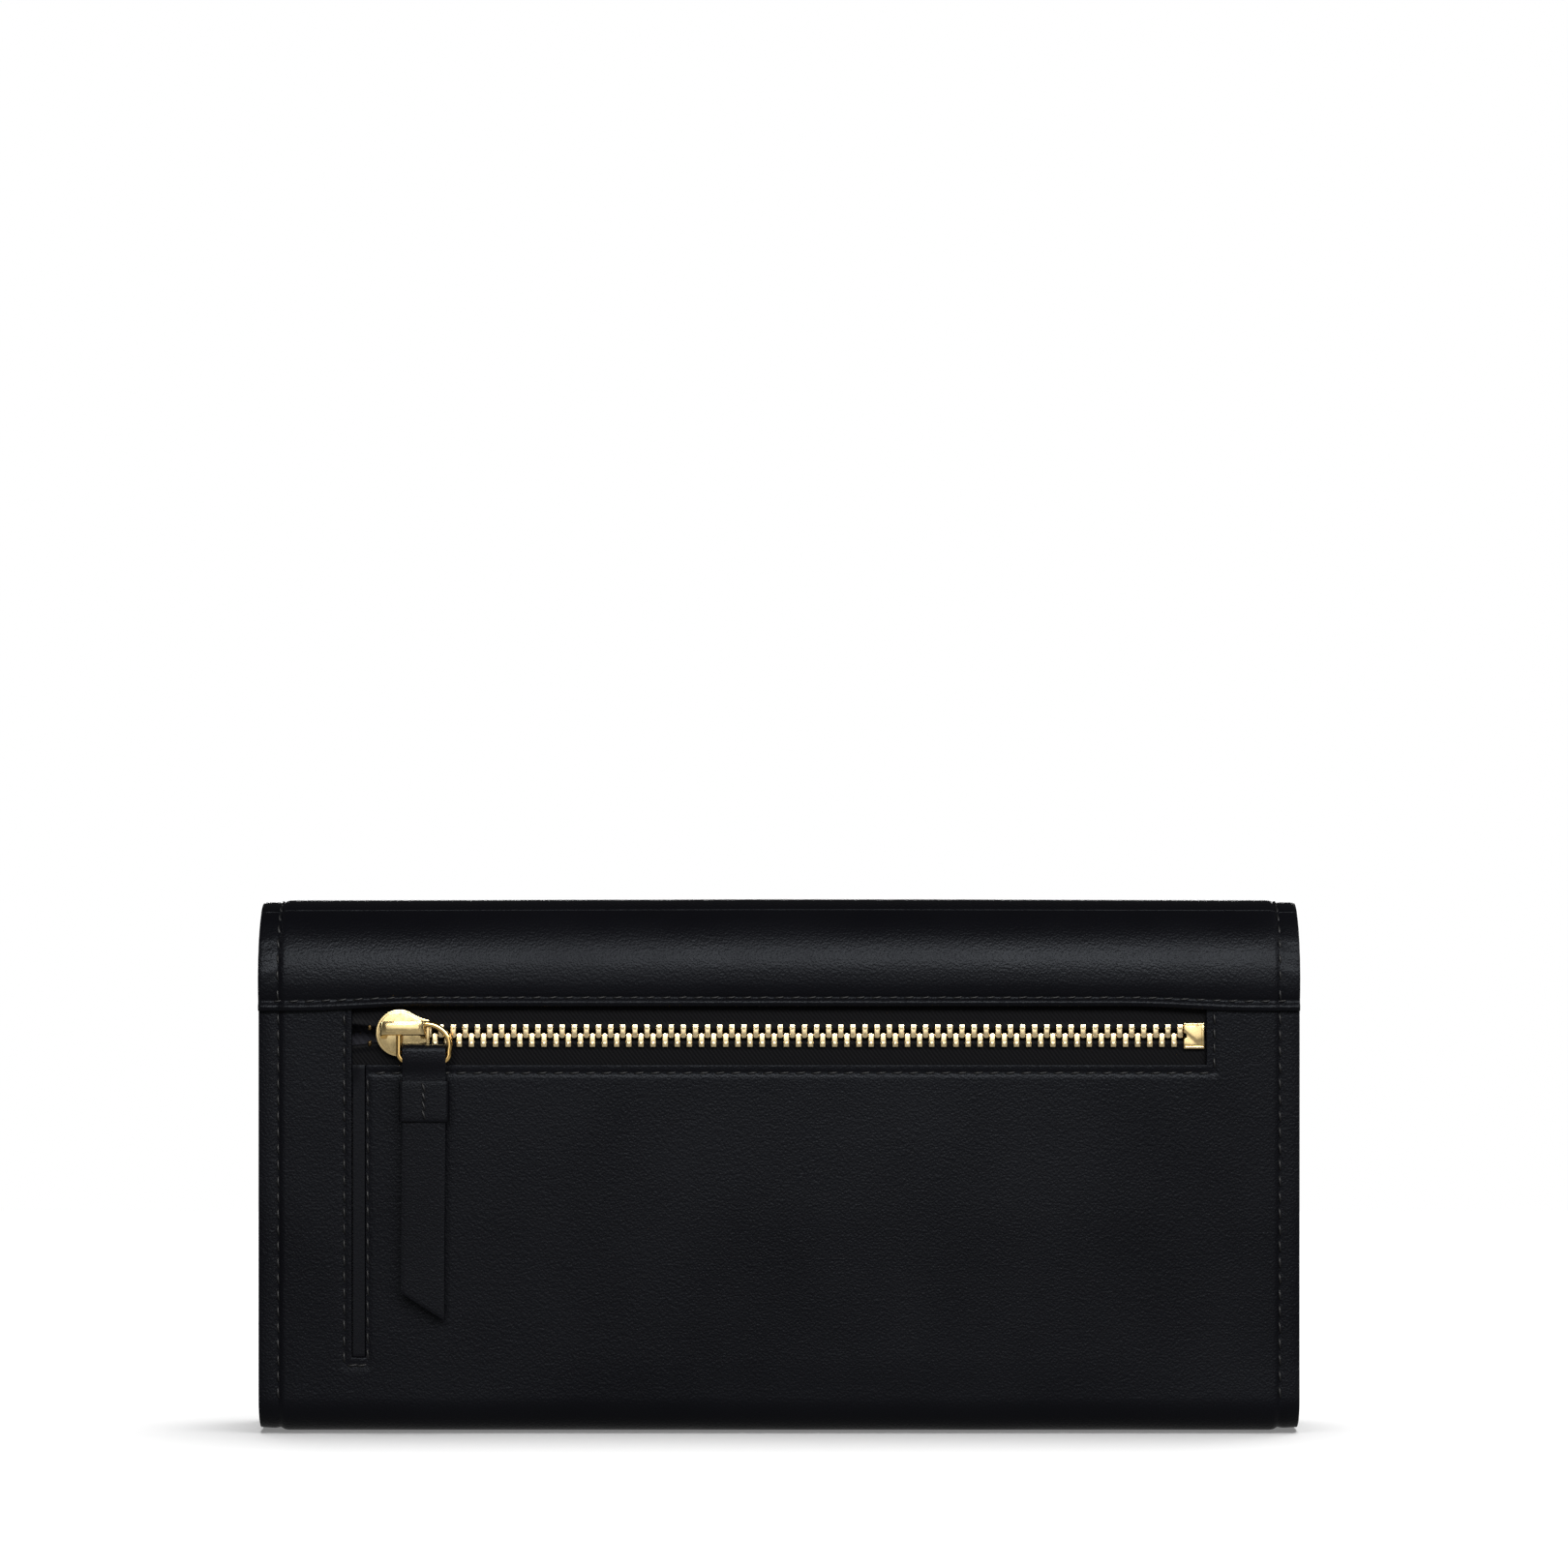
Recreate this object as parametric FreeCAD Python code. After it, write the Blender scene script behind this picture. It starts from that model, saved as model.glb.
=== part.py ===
import FreeCAD, Part
import math
import os

# A long flap-over purse. Its back has a zipped coin pocket with a leather pull.
# Frame: +X along the length, +Z up, the zip side faces -Y and the flap's front faces +Y.
# The origin is the centre of the flat base that the purse stands on.

V = FreeCAD.Vector

# ---------------------------------------------------------------- driving dimensions
# Overall
length = 190.0
height = 97.0
depth = 26.0

# Sheet materials
leather = 0.9
card_leather = 0.6
board = 0.7
lining = 0.4
zip_tape = 0.5

# Outer shell. A drop is measured down from the centre line of the rounded top.
rear_corner_r = 8.5
front_corner_r = 5.0
flap_seam_drop = 6.0
back_top_drop = 0.5
wall_top_drop = 7.0
front_stiffener = 1.1
closing_gap = 0.4
flap_foot_z = 22.0
flap_corner_r = 8.0
turn_angles = (180.0, 150.0, 90.0, 30.0, 0.0)

# Zip in the back panel
zip_drop = 11.4
window_length = 155.8
window_below = 5.3
window_tuck = 0.6
tape_width = 11.0
tape_overrun = 4.0
tape_gap = 1.8
tooth_pitch = 2.21
tooth_width = 1.0
tooth_reach = 2.2
tooth_thickness = 2.0
stop_length = 3.8
stop_height = 4.8
stop_end_gap = 0.3
top_stop_length = 1.6

# Slot beside the pocket
slot_width = 2.5
slot_bottom = 13.9
inlay_gap = 0.1
inlay_sink = 0.15

# Slider, ring and pull
slider_r = 4.3
slider_tail = 5.5
slider_tail_half = 2.3
slider_end_gap = 4.4
plate_thickness = 0.85
plate_clearance = 0.15
rim_width = 0.7
post_length = 2.4
post_half = 0.8
bridge_left = 3.4
bridge_right = 5.0
bridge_width = 2.4
bridge_post = 1.2
bridge_thickness = 0.9
ring_wire = 1.0
ring_width = 9.3
ring_height = 6.7
ring_above = 2.3
ring_left_corner = 1.6
ring_right_corner = 3.0
pull_width = 7.9
pull_leather = 0.8
loop_clearance = 0.1
loop_rise = 1.55
neck_drop = 2.1
pull_length = 50.2
pull_slant = 5.0
keeper_width = 9.1
keeper_height = 7.4
keeper_below_neck = 1.6
keeper_leather = 0.6
fit_gap = 0.05

# Inside
coin_pocket_room = 2.5
coin_pocket_inset = 13.0
coin_edge_width = 3.0
rear_card_rows = 4
front_card_rows = 2
card_row_step = 11.0
panel_inset = 0.5
divider_inset = 1.0
card_inset = 3.0
window_frame_border = 9.0
id_window_width = 74.0
id_window_height = 48.0
film = 0.2
gusset_leather = 0.6
gusset_fold = 11.0
foot_gap = 0.4

# Press stud
stud_above_flap_foot = 9.0
stud_flange_r = 4.5
stud_flange = 0.4
stud_boss_r = 1.9
stud_shank_r = 1.4
socket_r = 5.5
socket_bore_r = 2.3
stud_end_gap = 0.2

# ---------------------------------------------------------------- derived places
half = length / 2
crown_r = depth / 2
crown_z = height - crown_r
seam_z = crown_z - flap_seam_drop

# Across the depth, from the zip side to the flap's front
back_outer = -crown_r + leather
back_inner = back_outer + leather
tape_inner = back_inner + zip_tape
tape_mid = back_inner + zip_tape / 2
coin_front = tape_inner + lining
coin_rear = coin_front + coin_pocket_room
rear_wall_back = coin_rear + lining
rear_wall_face = rear_wall_back + board
room_a_back = rear_wall_face + rear_card_rows * card_leather

flap_inner = crown_r - leather - board - lining
front_outer = flap_inner - closing_gap
front_inner = front_outer - leather
front_lining_face = front_inner - front_stiffener
front_card_face = front_lining_face - lining
room_b_front = front_card_face - front_card_rows * card_leather

divider = board + card_leather
room_depth = (room_b_front - room_a_back - divider) / 2
divider_back = room_a_back + room_depth
divider_face = divider_back + divider

# Hinge line of the front wall: the end of the flat base
base_front = front_outer - front_corner_r

# Up the height
zip_z = crown_z - zip_drop
window_bottom = zip_z - window_below
window_top = seam_z + window_tuck
back_top = crown_z - back_top_drop
wall_top = crown_z - wall_top_drop
stud_z = flap_foot_z + stud_above_flap_foot
window_half = window_length / 2
slider_x = -window_half + slider_end_gap + slider_r

# Slider stack, outwards from the tape
plate_inner = tooth_thickness / 2 + plate_clearance
plate_outer = plate_inner + plate_thickness
plate_top = tape_mid - plate_outer
loop_half = ring_wire / 2 + loop_clearance + pull_leather
ring_y = plate_top - plate_clearance - loop_half
tunnel_y = ring_y - ring_wire / 2 - plate_clearance - loop_clearance
bridge_top = tunnel_y - bridge_thickness
bar_z = zip_z + ring_above - ring_height
loop_top = bar_z + loop_rise + loop_half
neck_z = bar_z - neck_drop
pull_tip_z = loop_top - pull_length
ring_left = slider_x
pull_x = ring_left + ring_width / 2
keeper_top = neck_z - keeper_below_neck


# ---------------------------------------------------------------- shape helpers
def slab(x0, x1, y0, y1, z0, z1):
    return Part.makeBox(x1 - x0, y1 - y0, z1 - z0, V(x0, y0, z0))


def disc(radius, y0, y1, x, z):
    return Part.makeCylinder(radius, y1 - y0, V(x, y0, z), V(0, 1, 0))


def joined(first, *others):
    return first.fuse(list(others)).removeSplitter()


def ring_sector(y, z, r_out, r_in, a0, a1, reach):
    """A curved sheet about an X line through (y, z), between two angles measured from +Y up towards +Z."""

    def at(r, a):
        return V(-reach, y + r * math.cos(math.radians(a)), z + r * math.sin(math.radians(a)))

    mid = (a0 + a1) / 2
    outline = Part.Wire([
        Part.Arc(at(r_out, a0), at(r_out, mid), at(r_out, a1)).toShape(),
        Part.LineSegment(at(r_out, a1), at(r_in, a1)).toShape(),
        Part.Arc(at(r_in, a1), at(r_in, mid), at(r_in, a0)).toShape(),
        Part.LineSegment(at(r_in, a0), at(r_out, a0)).toShape(),
    ])
    return Part.Face(outline).extrude(V(2 * reach, 0, 0))


def stadium(z0, z1, radius, x0, x1):
    """A long round-ended bar section in the YZ plane about the ring's plane, drawn from x0 to x1."""
    low = Part.makeCylinder(radius, x1 - x0, V(x0, ring_y, z0), V(1, 0, 0))
    high = Part.makeCylinder(radius, x1 - x0, V(x0, ring_y, z1), V(1, 0, 0))
    return joined(low, high, slab(x0, x1, ring_y - radius, ring_y + radius, z0, z1))


def corner_height(y, centre_y, inner_r, centre_z):
    """Height of the shell's inside at y in a bottom corner."""
    across = min(abs(y - centre_y), inner_r)
    return centre_z - math.sqrt(inner_r ** 2 - across ** 2)


# ---------------------------------------------------------------- outer shell
def back_panel():
    """One hide from under the flap, down the back and under the base, with the zip window and the slot."""
    centre = back_outer + rear_corner_r
    wall = slab(-half, half, back_outer, back_inner, rear_corner_r, back_top)
    corner = ring_sector(centre, rear_corner_r, rear_corner_r, rear_corner_r - leather, 180, 270, half)
    base = slab(-half, half, centre, base_front, 0, leather)
    window = slab(-window_half, window_half, back_outer - 1, back_inner + 1, window_bottom, window_top)
    slot_right = -window_half + slot_width
    slot = slab(-window_half, slot_right, back_outer - 1, back_inner + 1, slot_bottom, window_bottom)
    return joined(wall, corner, base).cut(window.fuse(slot)).removeSplitter()


def slot_inlay():
    return slab(-window_half + inlay_gap, -window_half + slot_width - inlay_gap,
                back_outer + inlay_sink, back_inner, slot_bottom + inlay_gap, window_bottom)


def base_strip():
    return slab(-half + card_inset, half - card_inset, back_outer + rear_corner_r, base_front - foot_gap,
                leather, leather + board)


def flap_turn(index, outer, inner):
    a0, a1 = turn_angles[index + 1], turn_angles[index]
    return ring_sector(0, crown_z, outer, inner, a0, a1, half)


def flap_band(outer, inner, foot):
    band = slab(-half, half, -outer, -inner, foot, crown_z)
    return joined(band, flap_turn(0, outer, inner))


def flap_front_sheet(y_in, y_out):
    """The flap's flat front, with both lower corners rounded."""
    foot = flap_foot_z
    sheet = slab(-half, half, y_in, y_out, foot, crown_z)
    corners = [e for e in sheet.Edges
               if abs(e.Vertexes[0].Z - foot) < 0.01 and abs(e.Vertexes[-1].Z - foot) < 0.01
               and abs(e.Vertexes[0].X - e.Vertexes[-1].X) < 0.01]
    return sheet.makeFillet(flap_corner_r, corners)


def flap_front_leather():
    return joined(flap_front_sheet(crown_r - leather, crown_r),
                  flap_turn(3, crown_r, crown_r - leather))


def socket_hole(y0, y1):
    return disc(socket_r + fit_gap, y0, y1, 0, stud_z)


def flap_board():
    y0 = flap_inner + lining
    y1 = crown_r - leather
    return flap_front_sheet(y0, y1).cut(socket_hole(y0, y1))


def flap_lining():
    y1 = flap_inner + lining
    sheet = joined(flap_front_sheet(flap_inner, y1), flap_turn(3, y1, flap_inner))
    return sheet.cut(socket_hole(flap_inner, y1))


def front_panel():
    wall = slab(-half, half, front_inner, front_outer, front_corner_r, wall_top)
    corner = ring_sector(base_front, front_corner_r, front_corner_r, front_corner_r - leather,
                         270, 360, half)
    recess = disc(stud_flange_r + fit_gap, front_outer - stud_flange, front_outer + 1, 0, stud_z)
    shank = disc(stud_shank_r, front_inner - 1, front_outer, 0, stud_z)
    return joined(wall, corner).cut(recess.fuse(shank)).removeSplitter()


def front_stiffener_sheet():
    foot = front_corner_r + foot_gap
    sheet = slab(-half + card_inset, half - card_inset, front_lining_face, front_inner, foot, wall_top)
    plate = disc(stud_flange_r + fit_gap, front_lining_face - 1, front_lining_face + stud_flange, 0, stud_z)
    shank = disc(stud_shank_r, front_lining_face, front_inner + 1, 0, stud_z)
    return sheet.cut(plate.fuse(shank))


def front_foot(y):
    return corner_height(y, base_front, front_corner_r - leather, front_corner_r) + foot_gap


def front_lining():
    return slab(-half + panel_inset, half - panel_inset, front_card_face, front_lining_face,
                front_foot(front_lining_face), wall_top)


def front_card_panel(row):
    y1 = front_card_face - row * card_leather
    top = wall_top - (row + 1) * card_row_step
    return slab(-half + card_inset, half - card_inset, y1 - card_leather, y1,
                front_foot(front_lining_face), top)


# ---------------------------------------------------------------- press stud
def snap_stud():
    flange = disc(stud_flange_r, front_outer - stud_flange, front_outer, 0, stud_z)
    boss = disc(stud_boss_r, front_outer, crown_r - leather - stud_end_gap, 0, stud_z)
    shank = disc(stud_shank_r, front_lining_face + stud_flange, front_outer, 0, stud_z)
    return joined(flange, boss, shank)


def snap_backplate():
    return disc(stud_flange_r, front_lining_face, front_lining_face + stud_flange, 0, stud_z)


def snap_socket():
    cup = disc(socket_r, flap_inner, crown_r - leather, 0, stud_z)
    return cup.cut(disc(socket_bore_r, flap_inner - 1, crown_r, 0, stud_z))


# ---------------------------------------------------------------- zip
def tape(side):
    near = zip_z + side * tape_gap / 2
    far = zip_z + side * tape_width
    low, high = min(near, far), max(near, far)
    reach = window_half + tape_overrun
    return slab(-reach, reach, back_inner, tape_inner, low, high)


def tooth(side):
    """One metal element: a rounded head that interlocks, and two legs that grip the tape."""
    head = disc(tooth_width / 2, tape_mid - tooth_thickness / 2, tape_mid + tooth_thickness / 2, 0, zip_z)
    low, high = min(0, side * tooth_reach), max(0, side * tooth_reach)
    body = slab(-tooth_width / 2, tooth_width / 2, tape_mid - tooth_thickness / 2,
                tape_mid + tooth_thickness / 2, zip_z + low, zip_z + high)
    return joined(head, body).cut(tape(side))


def teeth(side):
    first = slider_x + slider_r / 2
    last = window_half - stop_end_gap - stop_length - tooth_width / 2 - plate_clearance
    if side < 0:
        last -= tooth_pitch / 2
    count = int((last - first) / tooth_pitch) + 1
    one = tooth(side)
    row = []
    for k in range(count):
        element = one.copy()
        element.translate(V(last - k * tooth_pitch, 0, 0))
        row.append(element)
    return Part.makeCompound(row)


def zip_bottom_stop():
    right = window_half - stop_end_gap
    box = slab(right - stop_length, right, tape_mid - plate_inner, tape_mid + plate_inner,
               zip_z - stop_height / 2, zip_z + stop_height / 2)
    return box.cut(tape(1)).cut(tape(-1))


def zip_top_stops():
    left = slider_x - slider_r - top_stop_length - plate_clearance
    stops = []
    for side in (1, -1):
        low, high = sorted((zip_z + side * tape_gap / 2, zip_z + side * tooth_reach))
        clamp = slab(left, left + top_stop_length, tape_mid - tooth_thickness / 2,
                     tape_mid + tooth_thickness / 2, low, high)
        jaws = clamp.cut(tape(side))
        stops += jaws.Solids
    return Part.makeCompound(stops)


# ---------------------------------------------------------------- slider, ring and pull
def slider_outline(inset):
    """The slider's plan: a round mouth on the left and hollow sides that run to a narrow tail."""
    r = slider_r - inset
    tail_half = slider_tail_half - inset
    start = math.radians(55)
    top = V(slider_x + r * math.cos(start), 0, zip_z + r * math.sin(start))
    tail = V(slider_x + slider_tail - inset, 0, zip_z + tail_half)
    waist = V((top.x + tail.x) / 2 - 0.1, 0, (top.z + tail.z) / 2 - 0.25)

    def mirrored(p):
        return V(p.x, 0, 2 * zip_z - p.z)

    left = V(slider_x - r, 0, zip_z)
    return Part.Face(Part.Wire([
        Part.Arc(top, left, mirrored(top)).toShape(),
        Part.Arc(mirrored(top), mirrored(waist), mirrored(tail)).toShape(),
        Part.LineSegment(mirrored(tail), tail).toShape(),
        Part.Arc(tail, waist, top).toShape(),
    ]))


def raised(face, y0, y1):
    solid = face.extrude(V(0, y1 - y0, 0))
    solid.translate(V(0, y0, 0))
    return solid


def slider_body():
    """Two plates held apart by the post, with rims that guide the tape."""
    plan = slider_outline(0)
    outer_plate = raised(plan, tape_mid - plate_outer, tape_mid - plate_inner)
    inner_plate = raised(plan, tape_mid + plate_inner, tape_mid + plate_outer)
    post = Part.makeCylinder(post_half, 2 * plate_inner,
                             V(slider_x - post_length / 4, tape_mid - plate_inner, zip_z), V(0, 1, 0))
    tape_half = zip_tape / 2 + plate_clearance
    ring = slider_outline(0).cut(slider_outline(rim_width))
    corridor = slab(slider_x - 2 * slider_r, slider_x + 2 * slider_r, -depth, depth,
                    zip_z - tooth_reach - plate_clearance, zip_z + tooth_reach + plate_clearance)
    mouth = slab(slider_x - 2 * slider_r, slider_x - slider_r / 2, -depth, depth, 0, height)
    rims = []
    for y0, y1 in ((-plate_inner, -tape_half), (tape_half, plate_inner)):
        rims.append(raised(ring, tape_mid + y0, tape_mid + y1).cut(corridor.fuse(mouth)))
    return joined(outer_plate, inner_plate, post, *rims)


def slider_bridge():
    """The arch on the slider's face that holds the ring."""
    x0 = slider_x - bridge_left
    x1 = slider_x + bridge_right
    z0, z1 = zip_z - bridge_width / 2, zip_z + bridge_width / 2
    arch = slab(x0, x1, bridge_top, plate_top, z0, z1)
    ends = [e for e in arch.Edges
            if abs(e.Vertexes[0].Y - bridge_top) < 0.01 and abs(e.Vertexes[-1].Y - bridge_top) < 0.01
            and abs(e.Vertexes[0].X - e.Vertexes[-1].X) < 0.01]
    tunnel = slab(x0 + bridge_post, x1 - bridge_post, tunnel_y, plate_top + 1, z0 - 1, z1 + 1)
    return arch.makeFillet(bridge_thickness * 0.8, ends).cut(tunnel)


def pull_ring():
    """A closed wire D with a straight left leg through the arch and a round right side."""
    x0, x1 = ring_left, ring_left + ring_width
    z0, z1 = bar_z, bar_z + ring_height
    a, b = ring_left_corner, ring_right_corner
    turn = math.sqrt(0.5)

    def p(x, z):
        return V(x, ring_y, z)

    path = Part.Wire([
        Part.LineSegment(p(x0, z0 + a), p(x0, z1 - a)).toShape(),
        Part.Arc(p(x0, z1 - a), p(x0 + a - a * turn, z1 - a + a * turn), p(x0 + a, z1)).toShape(),
        Part.LineSegment(p(x0 + a, z1), p(x1 - b, z1)).toShape(),
        Part.Arc(p(x1 - b, z1), p(x1 - b + b * turn, z1 - b + b * turn), p(x1, z1 - b)).toShape(),
        Part.LineSegment(p(x1, z1 - b), p(x1, z0 + b)).toShape(),
        Part.Arc(p(x1, z0 + b), p(x1 - b + b * turn, z0 + b - b * turn), p(x1 - b, z0)).toShape(),
        Part.LineSegment(p(x1 - b, z0), p(x0 + a, z0)).toShape(),
        Part.Arc(p(x0 + a, z0), p(x0 + a - a * turn, z0 + a - a * turn), p(x0, z0 + a)).toShape(),
    ])
    section = Part.Wire([Part.Circle(p(x0, (z0 + z1) / 2), V(0, 0, 1), ring_wire / 2).toShape()])
    return path.makePipeShell([section], True, True)


def pull_loop():
    """The folded top of the leather pull, round the ring's bottom bar."""
    x0, x1 = pull_x - pull_width / 2, pull_x + pull_width / 2
    fold = stadium(bar_z, bar_z + loop_rise, loop_half, x0, x1)
    eye = stadium(bar_z, bar_z + loop_rise, loop_half - pull_leather, x0 - 1, x1 + 1)
    neck = slab(x0, x1, ring_y - pull_leather, ring_y + pull_leather, neck_z, bar_z - loop_half / 2)
    return joined(fold, neck).cut(eye)


def pull_strap():
    """Two layers of leather sewn together, cut on a slant at the end."""
    x0, x1 = pull_x - pull_width / 2, pull_x + pull_width / 2
    y = ring_y - pull_leather
    corners = [V(x0, y, neck_z), V(x1, y, neck_z), V(x1, y, pull_tip_z), V(x0, y, pull_tip_z + pull_slant)]
    return Part.Face(Part.makePolygon(corners + corners[:1])).extrude(V(0, 2 * pull_leather, 0))


def pull_keeper():
    """The short band sewn round the pull below its loop."""
    outer_half = pull_leather + fit_gap + keeper_leather
    x0, x1 = pull_x - keeper_width / 2, pull_x + keeper_width / 2
    band = slab(x0, x1, ring_y - outer_half, ring_y + outer_half, keeper_top - keeper_height, keeper_top)
    hole_x = pull_width / 2 + fit_gap
    hole_y = pull_leather + fit_gap
    hole = slab(pull_x - hole_x, pull_x + hole_x, ring_y - hole_y, ring_y + hole_y, 0, height)
    return band.cut(hole)


# ---------------------------------------------------------------- coin pocket
def pocket_foot():
    return rear_corner_r + foot_gap


def pocket_reach():
    return half - coin_pocket_inset


def coin_pocket_outer_lining():
    return slab(-pocket_reach(), pocket_reach(), tape_inner, coin_front, pocket_foot(), window_bottom)


def coin_pocket_inner_lining():
    return slab(-pocket_reach(), pocket_reach(), coin_rear, rear_wall_back, pocket_foot(), back_top)


def coin_pocket_edges():
    """The sewn edges that close the pocket at its sides and bottom."""
    reach = pocket_reach()
    foot = pocket_foot()
    top = window_bottom - coin_edge_width
    left = slab(-reach, -reach + coin_edge_width, coin_front, coin_rear, foot + coin_edge_width, top)
    right = slab(reach - coin_edge_width, reach, coin_front, coin_rear, foot + coin_edge_width, top)
    bottom = slab(-reach, reach, coin_front, coin_rear, foot, foot + coin_edge_width)
    return Part.makeCompound([left, right, bottom])


def back_stiffener():
    return slab(-pocket_reach(), pocket_reach(), back_inner, tape_inner, pocket_foot(),
                zip_z - tape_width - foot_gap)


# ---------------------------------------------------------------- main room
def rear_foot():
    centre = back_outer + rear_corner_r
    return corner_height(rear_wall_back, centre, rear_corner_r - leather, rear_corner_r) + foot_gap


def rear_divider():
    return slab(-half + panel_inset, half - panel_inset, rear_wall_back, rear_wall_face, rear_foot(), back_top)


def rear_card_panel(row):
    y0 = rear_wall_face + row * card_leather
    top = back_top - (row + 1) * card_row_step
    return slab(-half + card_inset, half - card_inset, y0, y0 + card_leather, rear_foot(), top)


def divider_foot():
    return leather + board + foot_gap


def divider_board():
    return slab(-half + divider_inset, half - divider_inset, divider_back, divider_back + board,
                divider_foot(), wall_top)


def id_opening(y0, y1):
    x0 = -half + divider_inset + window_frame_border
    z1 = wall_top - window_frame_border
    return slab(x0, x0 + id_window_width, y0, y1, z1 - id_window_height, z1)


def id_window_frame():
    y0 = divider_back + board
    frame = slab(-half + divider_inset, half - divider_inset, y0, divider_face, divider_foot(),
                 wall_top - window_frame_border / 2)
    return frame.cut(id_opening(y0 - 1, divider_face + 1))


def id_window_film():
    y0 = divider_back + board
    return id_opening(y0, y0 + film)


def gusset(side, room_back, room_front):
    """One folded side of a room: two leaves that meet at a crease inside the purse."""
    t = gusset_leather
    outer_x = half - panel_inset - t
    fold_x = outer_x - gusset_fold
    foot = divider_foot()
    points = [(outer_x, room_back + t / 2), (fold_x, (room_back + room_front) / 2),
              (outer_x, room_front - t / 2)]
    leaves = []
    for (xa, ya), (xb, yb) in zip(points, points[1:]):
        run = math.hypot(xb - xa, yb - ya)
        leaf = slab(0, run, -t / 2, t / 2, foot, wall_top)
        leaf.rotate(V(0, 0, 0), V(0, 0, 1), math.degrees(math.atan2(yb - ya, xb - xa)))
        leaf.translate(V(xa, ya, 0))
        leaves.append(leaf)
    crease = Part.makeCylinder(t / 2, wall_top - foot, V(fold_x, points[1][1], foot), V(0, 0, 1))
    folded = joined(leaves[0], leaves[1], crease)
    folded = folded.common(slab(0, half, room_back, room_front, 0, height))
    if side < 0:
        folded = folded.mirror(V(0, 0, 0), V(1, 0, 0))
    return folded


# ---------------------------------------------------------------- the nodes
leather_r = crown_r - leather

nodes = {
    "back_panel": back_panel(),
    "slot_inlay": slot_inlay(),
    "base_strip": base_strip(),
    "back_stiffener": back_stiffener(),
    "flap_back_leather": flap_band(crown_r, leather_r, seam_z),
    "flap_back_lining": flap_turn(0, leather_r, flap_inner),
    "zip_tape_upper": tape(1),
    "zip_tape_lower": tape(-1),
    "zip_teeth_upper": teeth(1),
    "zip_teeth_lower": teeth(-1),
    "zip_bottom_stop": zip_bottom_stop(),
    "zip_top_stops": zip_top_stops(),
    "coin_pocket_outer_lining": coin_pocket_outer_lining(),
    "coin_pocket_inner_lining": coin_pocket_inner_lining(),
    "coin_pocket_edges": coin_pocket_edges(),
    "rear_divider": rear_divider(),
    "flap_turn_1_leather": flap_turn(1, crown_r, leather_r),
    "flap_turn_1_lining": flap_turn(1, leather_r, flap_inner),
    "flap_turn_2_leather": flap_turn(2, crown_r, leather_r),
    "flap_turn_2_lining": flap_turn(2, leather_r, flap_inner),
    "flap_front_leather": flap_front_leather(),
    "flap_board": flap_board(),
    "flap_lining": flap_lining(),
    "snap_socket": snap_socket(),
    "front_panel": front_panel(),
    "front_stiffener": front_stiffener_sheet(),
    "front_lining": front_lining(),
    "snap_stud": snap_stud(),
    "snap_backplate": snap_backplate(),
    "divider_board": divider_board(),
    "id_window_frame": id_window_frame(),
    "id_window_film": id_window_film(),
    "slider_body": slider_body(),
    "slider_bridge": slider_bridge(),
    "pull_ring": pull_ring(),
    "pull_loop": pull_loop(),
    "pull_strap": pull_strap(),
    "pull_keeper": pull_keeper(),
}
for row in range(rear_card_rows):
    nodes[f"rear_card_panel_{row + 1}"] = rear_card_panel(row)
for row in range(front_card_rows):
    nodes[f"front_card_panel_{row + 1}"] = front_card_panel(row)
for name, side in (("left", -1), ("right", 1)):
    nodes[f"gusset_rear_{name}"] = gusset(side, room_a_back, divider_back)
    nodes[f"gusset_front_{name}"] = gusset(side, divider_face, room_b_front)

os.makedirs("parts", exist_ok=True)
for name, shape in nodes.items():
    solids = shape.Solids
    if not solids or not all(s.isValid() and s.Volume > 0 for s in solids):
        raise ValueError(f"{name} is not a sound solid")
    if len(solids) == 1:
        shape = solids[0]
    shape.exportStep(f"parts/{name}.step")
    print(f"{name}: {len(solids)} solid(s), {sum(s.Volume for s in solids):.1f} mm3")
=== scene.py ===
import math
from bisect import bisect

import bmesh
import bpy
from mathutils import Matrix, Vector


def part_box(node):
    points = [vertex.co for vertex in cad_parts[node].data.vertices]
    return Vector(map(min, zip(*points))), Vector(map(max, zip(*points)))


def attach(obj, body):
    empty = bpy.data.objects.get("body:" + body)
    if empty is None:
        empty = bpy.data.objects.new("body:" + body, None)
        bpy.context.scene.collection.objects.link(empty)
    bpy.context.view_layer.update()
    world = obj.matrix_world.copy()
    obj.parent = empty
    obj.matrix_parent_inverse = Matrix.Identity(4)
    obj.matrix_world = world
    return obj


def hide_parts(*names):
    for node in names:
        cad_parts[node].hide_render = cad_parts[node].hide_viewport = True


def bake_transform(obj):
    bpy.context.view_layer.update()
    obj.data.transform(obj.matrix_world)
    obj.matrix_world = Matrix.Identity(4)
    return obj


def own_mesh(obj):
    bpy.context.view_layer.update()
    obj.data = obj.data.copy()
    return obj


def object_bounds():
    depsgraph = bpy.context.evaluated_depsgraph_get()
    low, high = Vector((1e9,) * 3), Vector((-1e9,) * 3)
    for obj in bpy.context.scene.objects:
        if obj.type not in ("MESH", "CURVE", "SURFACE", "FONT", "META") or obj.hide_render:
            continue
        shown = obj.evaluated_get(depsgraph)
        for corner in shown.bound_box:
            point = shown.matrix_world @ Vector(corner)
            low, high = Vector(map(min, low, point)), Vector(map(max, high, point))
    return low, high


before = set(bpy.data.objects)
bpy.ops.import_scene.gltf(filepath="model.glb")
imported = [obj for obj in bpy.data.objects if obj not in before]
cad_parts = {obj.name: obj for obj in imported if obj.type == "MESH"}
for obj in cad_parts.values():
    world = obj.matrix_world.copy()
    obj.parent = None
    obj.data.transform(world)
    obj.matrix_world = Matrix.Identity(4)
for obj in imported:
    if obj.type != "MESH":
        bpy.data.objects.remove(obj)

cad_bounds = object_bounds()
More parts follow.
